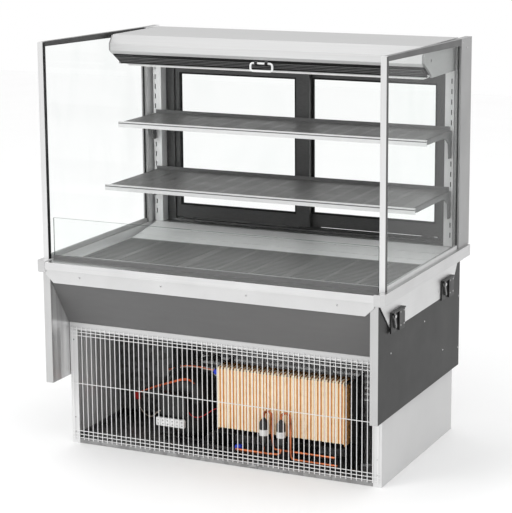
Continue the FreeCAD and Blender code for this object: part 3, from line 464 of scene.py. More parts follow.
# name: (material, CAD nodes that wear it)
LOOKS = {
    "white": (paint("white_enamel", tone(0.90), 0.34, dust=0.25), ("base_rear_panel",)),
    "white_wire": (paint("white_dipped_wire", tone(0.93), 0.40, 0.5), ("front_grille",)),
    "canopy_white": (canopy_skin("canopy_enamel"), ("canopy_shell",)),
    "end_grey": (paint("end_cap_grey", tone(0.60), 0.40), ("canopy_ends",)),
    "charcoal": (two_faced("charcoal_panel", tone(0.11), tone(0.11), 0.94, 0.16, 0.7), ("side_panels",)),
    # Base sides: the lighter front tone is painted light.
    "base_white": (two_faced("base_side_sheet", tone(0.86), tone(0.76), 0.98, 0.24, 0.3), ("base_sides",)),
    "header": (paint("header_enamel", tone(0.78), 0.36, dust=0.2), ("base_header",)),
    "fascia": (paint("fascia_grey", tone(0.37), 0.42, dust=0.1), ("well_skins",)),
    "black": (paint("black_powder_coat", tone(0.09), 0.42, 0.7, chip=tone(0.30)),
              ("curtain_housing", "condenser_shroud", "condenser_motor", "filter_driers", "compressor")),
    "shelf": (paint("shelf_powder_coat", tone(0.38), 0.46, 0.6, dust=0.1), ("shelf_pans", "shelf_brackets")),
    "deck": (paint("deck_powder_coat", tone(0.45), 0.44, 0.6, dust=0.15), ("deck",)),
    # Intake mesh: the dark second tone is painted shade in the openings.
    "intake": (expanded_mesh("intake_mesh", tone(0.80), tone(0.22)), ("intake_grille",)),
    "duct": (steel("duct_steel", "X", 0.94, 0.40, 0.03, 0.1), ("duct_panel",)),
    "steel_x": (steel("steel_grain_x", "X", 0.84, 0.27, 0.04), ("rim_ends",)),
    "steel_y": (steel("steel_grain_y", "Y", 0.79, 0.28, 0.04, 1.0, 0.94), ("rim_sides",)),
    "steel_z": (steel("steel_grain_z", "Z", 0.93, 0.36, 0.03, 0.2), ("pilasters",)),
    "column": (steel("column_steel", "Z", 0.62, 0.38, 0.03, 0.5, 0.94), ("columns",)),
    "leg": (steel("leg_steel", "Z", 0.77, 0.34, 0.03), ("leg_channels",)),
    "apron": (steel("apron_steel", "Y", 0.83, 0.38, 0.03), ("aprons",)),
    # Front posts: the dark side tone is painted shade.
    "post": (post_steel("post_steel", 0.86, 0.16), ("front_posts",)),
    "liner": (steel("liner_steel", "X", 0.86, 0.32, 0.04, 0.35), ("well_liner",)),
    "zinc": (galvanised("galvanised_sheet"), ("base_pan", "evaporator_fan_mounts")),
    "box_zinc": (galvanised("control_box_zinc", 0.34), ("control_box",)),
    "rail_grey": (anodised("rail_anodised", 0.33), ("top_rails", "curtain_roller")),
    "door_black": (anodised("door_anodised", 0.33, 0.42, 0.5),
                   ("door_frame", "door_frame_left", "door_frame_right")),
    # Glass channels: the darker front grey is painted shade.
    "channel_grey": (anodised("channel_anodised", 0.80, 0.36, 0.3, 0.4, 0.88, 0.40), ("glass_channels",)),
    "bar_black": (ribbed_bar("pull_bar_black"), ("curtain_bar",)),
    "glass": (glass("side_pane", tone(0.993, 0.998, 0.996), [(0, 1, 0), (0, 0, 1)]), ("side_glass",)),
    "front_glass": (glass("front_pane", tone(0.993, 0.998, 0.996), [(1, 0, 0), (0, 0, 1)]), ("front_glass",)),
    "door_glass": (glass("door_pane", tone(0.99, 0.996, 0.993)), ("door_glass_left", "door_glass_right")),
    "black_plastic": (plastic("black_nylon", tone(0.06), 0.42), ("clamp_housings", "cord_gland")),
    "white_plastic": (plastic("white_abs", tone(0.93), 0.30, wear=0.1),
                      ("curtain_handle", "drain_fitting", "terminal_block")),
    "fan_plastic": (plastic("fan_plastic", tone(0.16), 0.5),
                    ("condenser_fan", "evaporator_fan_left", "evaporator_fan_right")),
    "rubber": (plastic("gasket_rubber", tone(0.10), 0.7, 600.0, 0.1), ()),
    "copper": (copper_tube("drawn_copper"), ("copper_pipes",)),
    "coil": (coil_fins("condenser_fins", tone(0.86, 0.62, 0.36), tone(0.70, 0.48, 0.28)), ("condenser_coil",)),
    "fin_crest": (coil_fins("fin_crests", tone(0.985, 0.93, 0.80), tone(0.93, 0.82, 0.62)), ()),
    # Painted shade: the darker orange on the valleys and side faces of the fin stock.
    "shaded_fin_valley": (coil_fins("fin_valleys", tone(0.95, 0.72, 0.44), tone(0.80, 0.55, 0.30)), ()),
    "fins": (galvanised("evaporator_fins", 0.75), ("evaporator_coil",)),
    "foam": (foam("insulation_foam"), ("well_foam",)),
    "cloth": (woven("curtain_weave", tone(0.80, 0.81, 0.81)), ("curtain_roll",)),
    "lamp": (lamp_lens("lamp_diffuser"), ("canopy_lamp",)),
    "lever": (steel("lever_steel", "Z", 0.50, 0.34),
              ("clamp_lever_left_front", "clamp_lever_left_rear",
               "clamp_lever_right_front", "clamp_lever_right_rear")),
    "screw": (steel("screw_steel", "Z", 0.78, 0.22), ("panel_screws",)),
}
MATERIAL = {key: look[0] for key, look in LOOKS.items()}


def strip_enamel(name):
    """White enamel on the price strips, with a dark band under the top lip, the painted shadow of the ticket
    channel.
    """
    s = Shade(name)
    z = s.axis("Z")
    painted_channel_shadow = 0.0
    # Painted shadow: a dark band 4 to 8 mm under each strip's top, on the front faces.
    for centre, size in islands("shelf_strips"):
        top = centre.z + size.z / 2
        line = s.times(s.range(z, top - 8.0 * MM, top - 7.5 * MM),
                      s.range(z, top - 4.0 * MM, top - 4.5 * MM))
        painted_channel_shadow = s.math("MAXIMUM", painted_channel_shadow, line)
    front = s.times(painted_channel_shadow, s.range(s.facing((0, -1, 0)), 0.5, 0.9))
    rub = s.streaks((6, 200, 200))
    colour = s.mix(s.range(rub, 0.35, 0.7, 0.0, 0.3), tone(0.86), tone(0.76))
    s.set(Base_Color=s.mix(front, colour, tone(0.36)), Metallic=0.1,
          Roughness=s.range(rub, 0.3, 0.7, 0.30, 0.42))
    return s.bump(rub, 0.00005, 0.4, 0.0008)


def dress_cad():
    for material, names in LOOKS.values():
        for name in names:
            dress(NODES[name], material)
    dress(NODES["shelf_strips"], strip_enamel("shelf_strip_enamel"))


def dress(piece, material):
    if not piece.material_slots:
        piece.data.materials.append(material)
    for slot in piece.material_slots:
        slot.material = material


# ---- mesh helpers ----
def mesh_object(name, build, material, smooth=False):
    data = bpy.data.meshes.new(name)
    work = bmesh.new()
    build(work)
    bmesh.ops.recalc_face_normals(work, faces=work.faces)
    work.to_mesh(data)
    work.free()
    for face in data.polygons:
        face.use_smooth = smooth
    piece = bpy.data.objects.new(name, data)
    bpy.context.collection.objects.link(piece)
    data.materials.append(material)
    return piece


def fitted(name, build, material, body="cabinet", smooth=False, edge=0.0, segments=2, shell=0.0):
    """Mesh object on a body; edge rounds its corners and shell thickens its faces, in millimetres."""
    piece = mesh_object(name, build, MATERIAL.get(material, material), smooth)
    if edge:
        bevel = piece.modifiers.new("edges", "BEVEL")
        bevel.width = edge * MM
        bevel.segments = segments
        bevel.limit_method = "ANGLE"
    if shell:
        piece.modifiers.new("sheet", "SOLIDIFY").thickness = shell * MM
    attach(piece, body)
    return piece


def add_box(work, low, high):
    made = bmesh.ops.create_cube(work, size=1.0)["verts"]
    size = Vector(high) - Vector(low)
    for v in made:
        v.co = Vector(low) + Vector((size[i] * (v.co[i] + 0.5) for i in range(3)))
    return made


def add_lathe(work, outline, turn, steps=40):
    """Outline of (radius, height) points turned about local Z, then placed by turn."""
    rings = []
    for radius, height in outline:
        if radius < 1e-6:
            rings.append([work.verts.new(turn @ Vector((0, 0, height)))])
            continue
        angles = [2 * math.pi * i / steps for i in range(steps)]
        rings.append([work.verts.new(turn @ Vector((radius * math.cos(a), radius * math.sin(a), height)))
                      for a in angles])
    for low, high in zip(rings, rings[1:]):
        for i in range(steps):
            j = (i + 1) % steps
            corners = low if len(low) == 1 else [low[i], low[j]]
            corners = corners + (high if len(high) == 1 else [high[j], high[i]])
            if len(corners) > 2:
                work.faces.new(corners)


def along(axis, place=(0, 0, 0)):
    """Frame whose local Z points along a row axis."""
    turn = Vector((0, 0, 1)).rotation_difference(Vector(axis)).to_matrix().to_4x4()
    return Matrix.Translation(place) @ turn


def tube(name, points, radius, material, body="cabinet"):
    """Smooth round tube that follows given points."""
    curve = bpy.data.curves.new(name, "CURVE")
    curve.dimensions = "3D"
    curve.bevel_depth = radius
    curve.bevel_resolution = 4
    curve.resolution_u = 10
    curve.use_fill_caps = True
    line = curve.splines.new("NURBS")
    line.points.add(len(points) - 1)
    for point, place in zip(line.points, points):
        point.co = (*place, 1.0)
    line.order_u = 3
    line.use_endpoint_u = True
    piece = bpy.data.objects.new(name, curve)
    bpy.context.collection.objects.link(piece)
    curve.materials.append(material)
    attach(piece, body)
    return piece


def islands(node):
    """(centre, size) of each separate solid in a CAD node."""
    work = bmesh.new()
    work.from_mesh(NODES[node].data)
    bmesh.ops.remove_doubles(work, verts=work.verts, dist=1e-6)
    found, seen = [], set()
    for start in work.verts:
        if start in seen:
            continue
        stack, group = [start], []
        seen.add(start)
        while stack:
            v = stack.pop()
            group.append(v.co.copy())
            fresh = [e.other_vert(v) for e in v.link_edges if e.other_vert(v) not in seen]
            seen.update(fresh)
            stack += fresh
        low = Vector((min(p[i] for p in group) for i in range(3)))
        high = Vector((max(p[i] for p in group) for i in range(3)))
        found.append(((low + high) / 2, high - low))
    work.free()
    return found


# ---- fasteners ----
def add_screw(work, place, outward, radius, height):
    """Domed head with a cross recess."""
    turn = along(outward, place)
    outline = [(1, 0), (1, 0.25), (0.86, 0.7), (0.55, 0.95), (0.4, 1)]
    add_lathe(work, [(r * radius, z * height) for r, z in outline], turn, 20)
    arm, slit, floor = 0.4 * radius, 0.12 * radius, 0.45 * height
    corners = []
    for quarter in range(4):
        a = quarter * math.pi / 2
        for x, y in ((arm, -slit), (arm, slit), (slit, slit)):
            corners.append((x * math.cos(a) - y * math.sin(a), x * math.sin(a) + y * math.cos(a)))
    top = [work.verts.new(turn @ Vector((x, y, height))) for x, y in corners]
    low = [work.verts.new(turn @ Vector((0.8 * x, 0.8 * y, floor))) for x, y in corners]
    for i in range(12):
        j = (i + 1) % 12
        work.faces.new((top[i], top[j], low[j], low[i]))
    work.faces.new(low)


def panel_screws():
    def build(work):
        for centre, size in islands("panel_screws"):
            thin = min(range(3), key=lambda i: size[i])
            outward = Vector((0, 0, 0))
            outward[thin] = -1.0 if centre[thin] < 0 else 1.0
            radius = max(size) / 2
            add_screw(work, centre - outward * size[thin] / 2, outward, radius, size[thin])
    piece = fitted("screw_heads", build, "screw", smooth=True)
    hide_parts("panel_screws")


def clamp_details():
    """Bright pin heads and four small screws on each clamp housing."""
    def build(work):
        for centre, size in islands("clamp_housings"):
            side = 1.0 if centre.x > 0 else -1.0
            face = abs(centre.x) + size.x / 2
            front, low = centre.y - size.y / 2, centre.z - size.z / 2
            for dy, dz in ((66, 14), (94, 14), (66, 56), (94, 56)):
                place = Vector((side * (face - 3.5 * MM), front + dy * MM, low + dz * MM))
                add_screw(work, place, (side, 0, 0), 2.6 * MM, 1.5 * MM)
            pin = along((side, 0, 0), (side * (face - 0.3 * MM), front + 14 * MM, low + 53 * MM))
            head = [(0, 0), (6.0, 0), (6.0, 0.8), (4.4, 1.8), (0, 2.1)]
            add_lathe(work, [(r * MM, z * MM) for r, z in head], pin, 24)
    fitted("clamp_pins", build, "screw", smooth=True)


# ---- doors ----
def add_frame_ring(work, low, high, width, y0, y1):
    """Rectangular ring in the XZ plane from y0 to y1."""
    (x0, z0), (x1, z1) = low, high
    add_box(work, (x0, y0, z0), (x1, y1, z0 + width))
    add_box(work, (x0, y0, z1 - width), (x1, y1, z1))
    add_box(work, (x0, y0, z0 + width), (x0 + width, y1, z1 - width))
    add_box(work, (x1 - width, y0, z0 + width), (x1, y1, z1 - width))


def door_fittings(side):
    """Rubber glazing beads on both faces and a lipped finger pull."""
    pane_low, pane_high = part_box("door_glass_" + side)
    low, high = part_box("door_frame_" + side)
    lap = 5.0 * MM
    body = "door_" + side

    def beads(work):
        for y0, y1 in ((low.y + 0.3 * MM, pane_low.y - 0.1 * MM), (pane_high.y + 0.1 * MM, high.y - 0.3 * MM)):
            add_frame_ring(work, (pane_low.x + lap, pane_low.z + lap), (pane_high.x - lap, pane_high.z - lap),
                           6 * MM, y0, y1)
    fitted("glazing_bead_" + side, beads, "rubber", body, edge=0.9)

    outer = low.x if side == "left" else high.x
    sign = 1.0 if side == "left" else -1.0

    def cup(work):
        x0, x1 = sorted((outer + sign * 8.2 * MM, outer + sign * 24.8 * MM))
        foot, top, lip = 0.8792, 1.0108, 1.6 * MM
        add_frame_ring(work, (x0, foot), (x1, top), lip, high.y - 5.0 * MM, high.y + 0.7 * MM)
        add_box(work, (x0 + lip, high.y - 5.6 * MM, foot + lip), (x1 - lip, high.y - 4.9 * MM, top - lip))
    fitted("finger_pull_" + side, cup, "steel_z", body, edge=0.5)


def slot_shadow_strips():
    """Black strips inside the pilasters behind the shelf slots, a dark sheet put there as painted shade seen
    through the slots.
    """
    low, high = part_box("pilasters")

    def build(work):
        for side in (-1, 1):
            x0, x1 = sorted((side * (high.x - 0.0405), side * (high.x - 0.0150)))
            add_box(work, (x0, spot(0, 756, 0).y, 0.672), (x1, spot(0, 759, 0).y, 1.224))
    fitted("slot_shadow_strips", build, "rubber", edge=0.5)


def rear_louvres():
    """Pressed hoods over the slots of the rear panel, open downwards."""
    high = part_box("base_rear_panel")[1]
    rows_up, pitch, wide, out = 14, 0.022, 0.240, 7.0 * MM

    def build(work):
        for x0 in (-0.400, -0.140, 0.120):
            for row in range(rows_up):
                foot, top = 0.0570 + pitch * row, 0.0740 + pitch * row
                rows = []
                for i in range(9):
                    a = math.pi / 2 * i / 8
                    y, z = high.y + out * math.sin(a), foot + (top - foot) * math.cos(a)
                    inset = 5.0 * MM * (1 - math.sin(a)) - 1.0 * MM
                    rows.append([work.verts.new((x, y, z)) for x in (x0 + inset, x0 + wide - inset)])
                for a, b in zip(rows, rows[1:]):
                    work.faces.new((a[0], a[1], b[1], b[0]))
                for side in (0, 1):
                    root = work.verts.new((x0 - 1.0 * MM if side == 0 else x0 + wide + 1.0 * MM, high.y, foot))
                    for a, b in zip(rows, rows[1:]):
                        work.faces.new((root, a[side], b[side]))
    fitted("louvre_hoods", build, "white", smooth=True, shell=0.9)


# ---- fans ----
def fan(name, node, body, blades=5):
    """Moulded fan with twisted, cupped blades on a hub, axis along Y."""
    low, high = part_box(node)
    centre = (low + high) / 2
    radius = (high.z - low.z) / 2
    hub = 0.28 * radius
    width = min(26.0 * MM, 0.40 * radius)
    front = low.y + 1.0 * MM

    def build(work):
        turn = along((0, 1, 0), (centre.x, front, centre.z))
        cap = [(0, 0), (0.8 * hub, 0), (hub, 0.08 * width), (hub, width), (0.9 * hub, width), (0, width)]
        add_lathe(work, cap, turn)
        add_lathe(work, [(3.0 * MM, width), (3.0 * MM, high.y - front), (0, high.y - front)], turn, 16)
        across, out = 8, 7
        for b in range(blades):
            grid = []
            for i in range(out + 1):
                r = hub * 0.95 + (radius * 0.985 - hub * 0.95) * i / out
                pitch = math.radians(58 - 26 * i / out)
                span = 0.95 - 0.22 * (i / out)
                row = []
                for j in range(across + 1):
                    t = j / across - 0.5
                    a = 2 * math.pi * b / blades + t * span * 1.05
                    depth = width * (0.5 + t * 0.82 * math.sin(pitch)) + 0.05 * width * math.cos(math.pi * t)
                    place = (centre.x + r * math.cos(a), front + depth, centre.z + r * math.sin(a))
                    row.append(work.verts.new(place))
                grid.append(row)
            for i in range(out):
                for j in range(across):
                    work.faces.new((grid[i][j], grid[i][j + 1], grid[i + 1][j + 1], grid[i + 1][j]))
    piece = fitted(name, build, "fan_plastic", body, smooth=True, shell=1.2)
    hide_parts(node)


# ---- condensing unit ----
def compressor():
    """Welded hermetic shell with a seam flange, dome, sled and rubber feet."""
    low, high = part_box("compressor")
    x, y = (low.x + high.x) / 2, spot(0, 330, 0).y
    radius = 0.086
    seam = 0.148

    def shell(work):
        outline = [(0.0, 0.020), (0.052, 0.020), (0.070, 0.030), (0.081, 0.046), (radius - 0.002, 0.066),
                   (radius - 0.002, seam - 0.004), (radius, seam - 0.003), (radius, seam + 0.003),
                   (radius - 0.003, seam + 0.004), (radius - 0.003, 0.188), (0.080, 0.206), (0.068, 0.221),
                   (0.048, 0.231), (0.024, 0.2355), (0.0, high.z)]
        add_lathe(work, outline, Matrix.Translation((x, y, 0)), 56)
    can = fitted("compressor_shell", shell, "black", smooth=True)
    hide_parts("compressor")

    def sled(work):
        add_box(work, (low.x, y - 0.070, 0.0163), (high.x, y - 0.046, 0.0193))
        add_box(work, (low.x, y + 0.046, 0.0163), (high.x, y + 0.070, 0.0193))
        add_box(work, (x - 0.052, y - 0.070, 0.0193), (x + 0.052, y + 0.070, 0.0223))
    fitted("compressor_sled", sled, "black", edge=0.8)

    def feet(work):
        for i in (-1, 1):
            for j in (-1, 1):
                place = Matrix.Translation((x + i * 0.082, y + j * 0.054, 0))
                add_lathe(work, [(0, 0.0023), (0.012, 0.0023), (0.012, 0.008), (0.008, 0.010), (0.011, 0.0125),
                                 (0.011, 0.0163), (0.0, 0.0163)], place, 24)
    fitted("compressor_grommets", feet, "rubber", smooth=True)


def terminal_strip():
    """White six-way connector with screws, below the black relay cover."""
    low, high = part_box("terminal_block")

    def block(work):
        step = (high.x - low.x) / 6
        for i in range(6):
            a = low.x + step * i
            add_box(work, (a + 0.3 * MM, low.y, low.z), (a + step - 0.3 * MM, low.y + 0.010, low.z + 0.028))
        add_box(work, (low.x, low.y + 0.004, low.z + 0.003), (high.x, low.y + 0.0115, low.z + 0.025))
    piece = fitted("terminal_strip", block, "white_plastic", edge=1.0)
    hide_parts("terminal_block")

    def heads(work):
        step = (high.x - low.x) / 6
        for i in range(6):
            for dz in (0.008, 0.020):
                place = Vector((low.x + step * (i + 0.5), low.y, low.z + dz))
                add_screw(work, place, (0, -1, 0), 2.6 * MM, 0.9 * MM)
    fitted("terminal_screws", heads, "screw", smooth=True)

    def cover(work):
        add_box(work, (low.x + 0.010, low.y + 0.012, low.z + 0.0315), (high.x, high.y - 0.012, high.z))
    fitted("relay_cover", cover, "black_plastic", edge=5.0, segments=4)


def driers():
    """Filter driers: spun ends, brazed stubs and plain light bands."""
    low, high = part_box("filter_driers")
    y = (low.y + high.y) / 2
    coat = banded("drier_enamel", tone(0.13), tone(0.86), [(0.104, 0.124)])

    def build(work):
        for centre, size in islands("filter_driers"):
            turn = Matrix.Translation((centre.x, y, 0))
            wide = size.x / 2
            outline = [(0.0, 0.0640), (0.0040, 0.0640), (0.0046, 0.0680), (0.68 * wide, 0.0745),
                       (0.94 * wide, 0.0800), (wide, 0.0840), (wide, 0.1440), (0.94 * wide, 0.1490),
                       (0.68 * wide, 0.1545), (0.0046, 0.1600), (0.0040, 0.1640), (0.0, 0.1640)]
            add_lathe(work, outline, turn, 40)
    piece = fitted("drier_bodies", build, coat, smooth=True)
    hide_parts("filter_driers")


def pipes():
    """Copper lines of the condensing unit, drawn as bent tube; the long feed is sleeved in black foam."""
    low, high = [centre.x / MM for centre, size in sorted(islands("filter_driers"), key=lambda i: i[0].x)]
    runs = {
        "liquid_line": [(low, 165, 164.3), (low, 165, 172), (low + 4, 165, 181), (low + 14, 165, 186),
                        (low + 25, 165, 181), (low + 29, 165, 170), (low + 29, 164, 110), (low + 29, 176, 64),
                        (low + 34, 176, 56), (low + 46, 176, 56), (290, 176, 56), (380, 176, 56)],
        "suction_line": [(high, 165, 164.3), (high, 165, 172), (high + 5, 165, 182), (high + 17, 165, 187),
                         (high + 29, 165, 182), (high + 34, 165, 170), (high + 34, 165, 100),
                         (high + 34, 165, 46), (high + 39, 165, 36), (high + 52, 165, 34), (330, 165, 34),
                         (392, 165, 34)],
        "drier_feed": [(low, 165, 63.7), (low, 165, 50), (low - 6, 165, 41), (low - 20, 165, 40),
                       (10, 165, 40), (-68, 165, 40), (-79, 173, 40), (-110, 240, 40)],
        "drier_return": [(high, 165, 63.7), (high, 162, 54), (high - 4, 153, 49),
                         (high - 24, 150, 48), (100, 150, 48), (40, 150, 48)],
    }
    made = [tube(name, [spot(*p) for p in points], 4.0 * MM, MATERIAL["copper"])
            for name, points in runs.items()]
    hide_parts("copper_pipes")
    sleeve = [(34, 165, 40), (0, 165, 40), (-68, 165, 40), (-79, 173, 40), (-109, 238, 40)]
    tube("pipe_sleeve", [spot(*p) for p in sleeve], 6.5 * MM, MATERIAL["rubber"])


def fin_front():
    """Corrugated fin stock of the condenser: it covers the face and folds back over the top; its valleys and
    the side faces of its crests wear a darker orange, painted shade in the folds.
    """
    x0, x1, crest, valley = -46.0, 402.0, 6.5, 5.5
    path = [(194.6, 98.0, 1, 0), (194.6, 300.0, 1, 0), (197.0, 303.6, 0.7, -0.7), (202.0, 305.0, 0, -1),
            (256.0, 305.0, 0, -1)]

    def build(work):
        x, up, rows = x0, True, []
        while x < x1:
            wide = crest if up else valley
            rows.append((x, min(x + wide, x1), up))
            x, up = x + wide, not up
        for a, b, up in rows:
            sink = 0.0 if up else 4.2
            inset = 0.0 if up else 1.0
            line = [(d + sink * nd, z + sink * nz) for d, z, nd, nz in path]
            left = [work.verts.new(spot(a - inset, d, z)) for d, z in line]
            right = [work.verts.new(spot(b + inset, d, z)) for d, z in line]
            for i in range(len(line) - 1):
                face = work.faces.new((left[i], right[i], right[i + 1], left[i + 1]))
                # Painted shade: valleys and the side faces of the crests take the darker second material.
                face.material_index = 0 if up else 1
            if up:
                for edge, inward in ((left, 1.0), (right, -1.0)):
                    deep = [work.verts.new(spot(edge[0].co.x / MM + 0.4 * inward, d + 4.2 * nd, z + 4.2 * nz))
                            for d, z, nd, nz in path]
                    for i in range(len(line) - 1):
                        work.faces.new((edge[i], edge[i + 1], deep[i + 1], deep[i])).material_index = 1
    piece = fitted("fin_stock", build, "fin_crest", shell=0.35)
    piece.data.materials.append(MATERIAL["shaded_fin_valley"])


def curve_length(points):
    """Length of the clamped quadratic curve through the points' polygon."""
    total, last = 0.0, points[0]
    for i in range(1, len(points) - 1):
        start = points[0] if i == 1 else (points[i - 1] + points[i]) / 2
        end = points[-1] if i == len(points) - 2 else (points[i] + points[i + 1]) / 2
        for k in range(1, 25):
            t = k / 24
            here = (1 - t) ** 2 * start + 2 * t * (1 - t) * points[i] + t * t * end
            total += (here - last).length
            last = here
    return total


def wire(name, points, diameter, material):
    """Free wire between two fixed ends inside the base."""
    places = [spot(*p) for p in points]
    piece = tube(name, places, diameter / 2 * MM, material)
    curve_length(places)


def wiring():
    """Harness between the control box, relay cover, condenser and driers."""
    orange = plastic("orange_wire", tone(0.93, 0.42, 0.22), 0.4, 700.0, 0.05)
    pale = plastic("pale_wire", tone(0.86, 0.80, 0.74), 0.4, 700.0, 0.05)
    red = plastic("red_nylon", tone(0.78, 0.10, 0.10), 0.4)
    blue = plastic("blue_nylon", tone(0.10, 0.22, 0.78), 0.4)
    for i in (0, 1):
        gap, side = 4 * i, 6 * i
        low_run = [(-469 + side, 416, 102), (-465 + side, 398, 108), (-367, 340 + gap, 154 + gap),
                   (-292, 280 - gap, 190 + gap), (-232, 230 - gap, 219 + gap), (-196, 226, 233 + gap),
                   (-172, 240, 232 + gap), (-168, 262, 214)]
        high_run = [(-350, 416, 196 + side), (-338, 390, 204 + side), (-300, 345, 222 + 5 * i),
                    (-252, 322, 246 + gap), (-180, 292, 264 + 3 * i), (-103, 250, 272 + 3 * i),
                    (-66, 222, 282), (-54, 206, 280 + 3 * i)]
        wire("wire_orange_%d" % i, low_run, 3.0, orange)
        wire("wire_pale_%d" % i, high_run, 3.0, (pale, orange)[i])
    wire("wire_drop", [(-466, 416, 88), (-462, 402, 76), (-448, 388, 60), (-404, 350, 50), (-344, 290, 66),
                       (-300, 244, 104), (-268, 226, 122)], 2.6, pale)
    wire("wire_relay", [(-166, 214, 128), (-152, 212, 114), (-128, 220, 112), (-104, 232, 126), (-78, 240, 146),
                        (-52, 236, 152)], 2.6, red)
    wire("loom_sleeve", [(-62, 262, 292), (-76, 292, 304), (-126, 322, 298), (-184, 330, 274), (-246, 326, 254),
                         (-290, 318, 222), (-304, 290, 186), (-288, 244, 160), (-266, 226, 154)], 11.0,
         MATERIAL["rubber"])

    def plug(x0, x1, d0, d1, z0, z1):
        def build(work):
            add_box(work, spot(x0, d0, z0), spot(x1, d1, z1))
            add_box(work, spot(x0 - 3, d0 + 3, z0 + 4), spot(x0 + 1, d1 - 3, z1 - 4))
        return build
    for name, limits, colour in (("box_plug", (-475, -457, 406, 416.6, 82, 108), red),
                                 ("line_plug", (34, 54, 156, 172, 41, 59), blue),
                                 ("coil_plug", (-62, -49, 198, 212, 276, 292), blue)):
        fitted(name, plug(*limits), colour, edge=1.6)


def glass_gaskets():
    """Black edge seals between the side panes and the posts and columns."""
    low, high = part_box("side_glass")
    clip_top, column_seal_top, post_seal_top = 0.6635, 1.3285, 1.3450

    def build(work):
        for side in (-1, 1):
            x0, x1 = sorted((side * (high.x - 5.5 * MM), side * (high.x - 0.5 * MM)))
            add_box(work, (x0, high.y - 3.6 * MM, clip_top), (x1, high.y + 0.7 * MM, column_seal_top))
            add_box(work, (x0, low.y - 0.5 * MM, clip_top), (x1, low.y + 3.0 * MM, post_seal_top))
    fitted("glass_gaskets", build, "rubber", edge=0.8)


# ---- night curtain ----
def curtain_cloth():
    """The cloth's free stretch from the roll to the pull bar, and the wound turns on the roller."""
    low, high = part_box("curtain_roll")
    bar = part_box("curtain_bar")[1]
    x0, x1 = low.x + 0.002, high.x - 0.002
    axis_y, axis_z = (low.y + high.y) / 2, (low.z + high.z) / 2
    top = Vector((0, axis_y - 0.0229, axis_z - 0.002))
    foot = Vector((0, bar.y - 0.0358, bar.z - 0.0125))

    def drop(work):
        rows = []
        for i in range(61):
            place = top.lerp(foot, i / 60)
            rows.append([work.verts.new((x0 + (x1 - x0) * k / 24, place.y, place.z)) for k in range(25)])
        for a, b in zip(rows, rows[1:]):
            for k in range(24):
                work.faces.new((a[k], a[k + 1], b[k + 1], b[k]))
    cloth = mesh_object("curtain_drop", drop, MATERIAL["cloth"], True)
    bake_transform(cloth)

    inner, outer, turns, per_turn = 0.0134, 0.0228, 11, 40

    def spiral(work):
        rows = []
        for i in range(turns * per_turn + 1):
            a = 2 * math.pi * i / per_turn
            r = inner + (outer - inner) * i / (turns * per_turn)
            rows.append([work.verts.new((x, axis_y + r * math.cos(a), axis_z + r * math.sin(a)))
                         for x in (x0, x1)])
        for a, b in zip(rows, rows[1:]):
            work.faces.new((a[0], a[1], b[1], b[0]))
    roll = fitted("curtain_turns", spiral, "cloth", "curtain_spindle", smooth=True)
    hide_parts("curtain_roll")


def bar_ends():
    """Moulded end caps on the pull bar."""
    low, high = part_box("curtain_bar")
    y, z = high.y, high.z

    def build(work):
        for side in (-1, 1):
            x0, x1 = sorted((side * (high.x + 0.1 * MM), side * (high.x + 3.0 * MM)))
            outline = [(y - 0.0594, z - 0.0056), (y - 0.0034, z - 0.0416), (y, z - 0.0360), (y - 0.0560, z)]
            ends = [[work.verts.new((x, a, b)) for a, b in outline] for x in (x0, x1)]
            for i in range(4):
                j = (i + 1) % 4
                work.faces.new((ends[0][i], ends[0][j], ends[1][j], ends[1][i]))
            for end in ends:
                work.faces.new(end)
    fitted("bar_end_caps", build, "black_plastic", "curtain_pull", edge=0.8)


# ---- studio ----
CAMERA_PLACE = (2.495, -5.297, 1.929)
CAMERA_YAW, CAMERA_PITCH, CAMERA_ROLL = 25.279, 11.175, -0.388
CAMERA_LENS, CAMERA_SHIFT = 126.36, -0.08


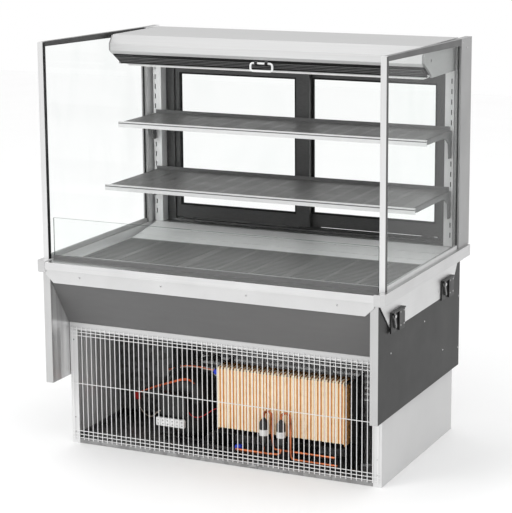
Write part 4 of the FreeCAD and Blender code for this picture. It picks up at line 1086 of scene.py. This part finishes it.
def camera():
    """Stands at the customer's right, a little above the case."""
    data = bpy.data.cameras.new("camera")
    data.sensor_fit = "HORIZONTAL"
    data.sensor_width = 36.0
    data.lens = CAMERA_LENS
    data.shift_y = CAMERA_SHIFT
    data.clip_end = 100.0
    eye = bpy.data.objects.new("camera", data)
    bpy.context.collection.objects.link(eye)
    yaw, pitch, roll = (math.radians(v) for v in (CAMERA_YAW, CAMERA_PITCH, CAMERA_ROLL))
    ahead = Vector((-math.sin(yaw) * math.cos(pitch), math.cos(yaw) * math.cos(pitch), -math.sin(pitch)))
    right = Vector((math.cos(yaw), math.sin(yaw), 0))
    up = right.cross(ahead)
    side = math.cos(roll) * right + math.sin(roll) * up
    top = -math.sin(roll) * right + math.cos(roll) * up
    turn = Matrix((side, top, -ahead)).transposed().to_4x4()
    eye.matrix_world = Matrix.Translation(CAMERA_PLACE) @ turn
    bpy.context.scene.camera = eye


def area_light(name, place, aim, size, power):
    data = bpy.data.lights.new(name, "AREA")
    data.shape = "RECTANGLE"
    data.size, data.size_y = size
    data.energy = power
    lamp = bpy.data.objects.new(name, data)
    bpy.context.collection.objects.link(lamp)
    lamp.location = place
    lamp.rotation_euler = (Vector(aim) - Vector(place)).to_track_quat("-Z", "Y").to_euler()


def studio():
    data = bpy.data.meshes.new("floor")
    data.from_pydata([(-9, -9, 0), (9, -9, 0), (9, 9, 0), (-9, 9, 0)], [], [(0, 1, 2, 3)])
    floor = bpy.data.objects.new("floor", data)
    bpy.context.collection.objects.link(floor)
    s = Shade("pale_floor")
    s.set(Base_Color=s.mix(s.noise(3.0), tone(0.98), tone(0.995)), Roughness=0.7)
    data.materials.append(s.material)

    world = bpy.data.worlds.new("studio")
    world.use_nodes = True
    world.node_tree.nodes["Background"].inputs["Color"].default_value = (1, 1, 1, 1)
    world.node_tree.nodes["Background"].inputs["Strength"].default_value = 1.0
    bpy.context.scene.world = world
    bpy.context.scene.view_settings.view_transform = "Standard"
    aim = (0, 0, 0.7)
    area_light("key", (-2.6, -4.2, 3.6), aim, (2.6, 2.0), 70)
    area_light("fill", (4.2, -1.6, 2.2), aim, (2.2, 2.6), 18)
    area_light("overhead", (0, -0.6, 4.4), aim, (3.4, 2.4), 22)


dress_cad()
panel_screws()
clamp_details()
for door in ("left", "right"):
    door_fittings(door)
slot_shadow_strips()
rear_louvres()
fan("condenser_fan_moulded", "condenser_fan", "condenser_rotor")
fan("evaporator_fan_moulded_left", "evaporator_fan_left", "evaporator_rotor_left")
fan("evaporator_fan_moulded_right", "evaporator_fan_right", "evaporator_rotor_right")
compressor()
terminal_strip()
driers()
pipes()
fin_front()
wiring()
glass_gaskets()
curtain_cloth()
bar_ends()
camera()
studio()
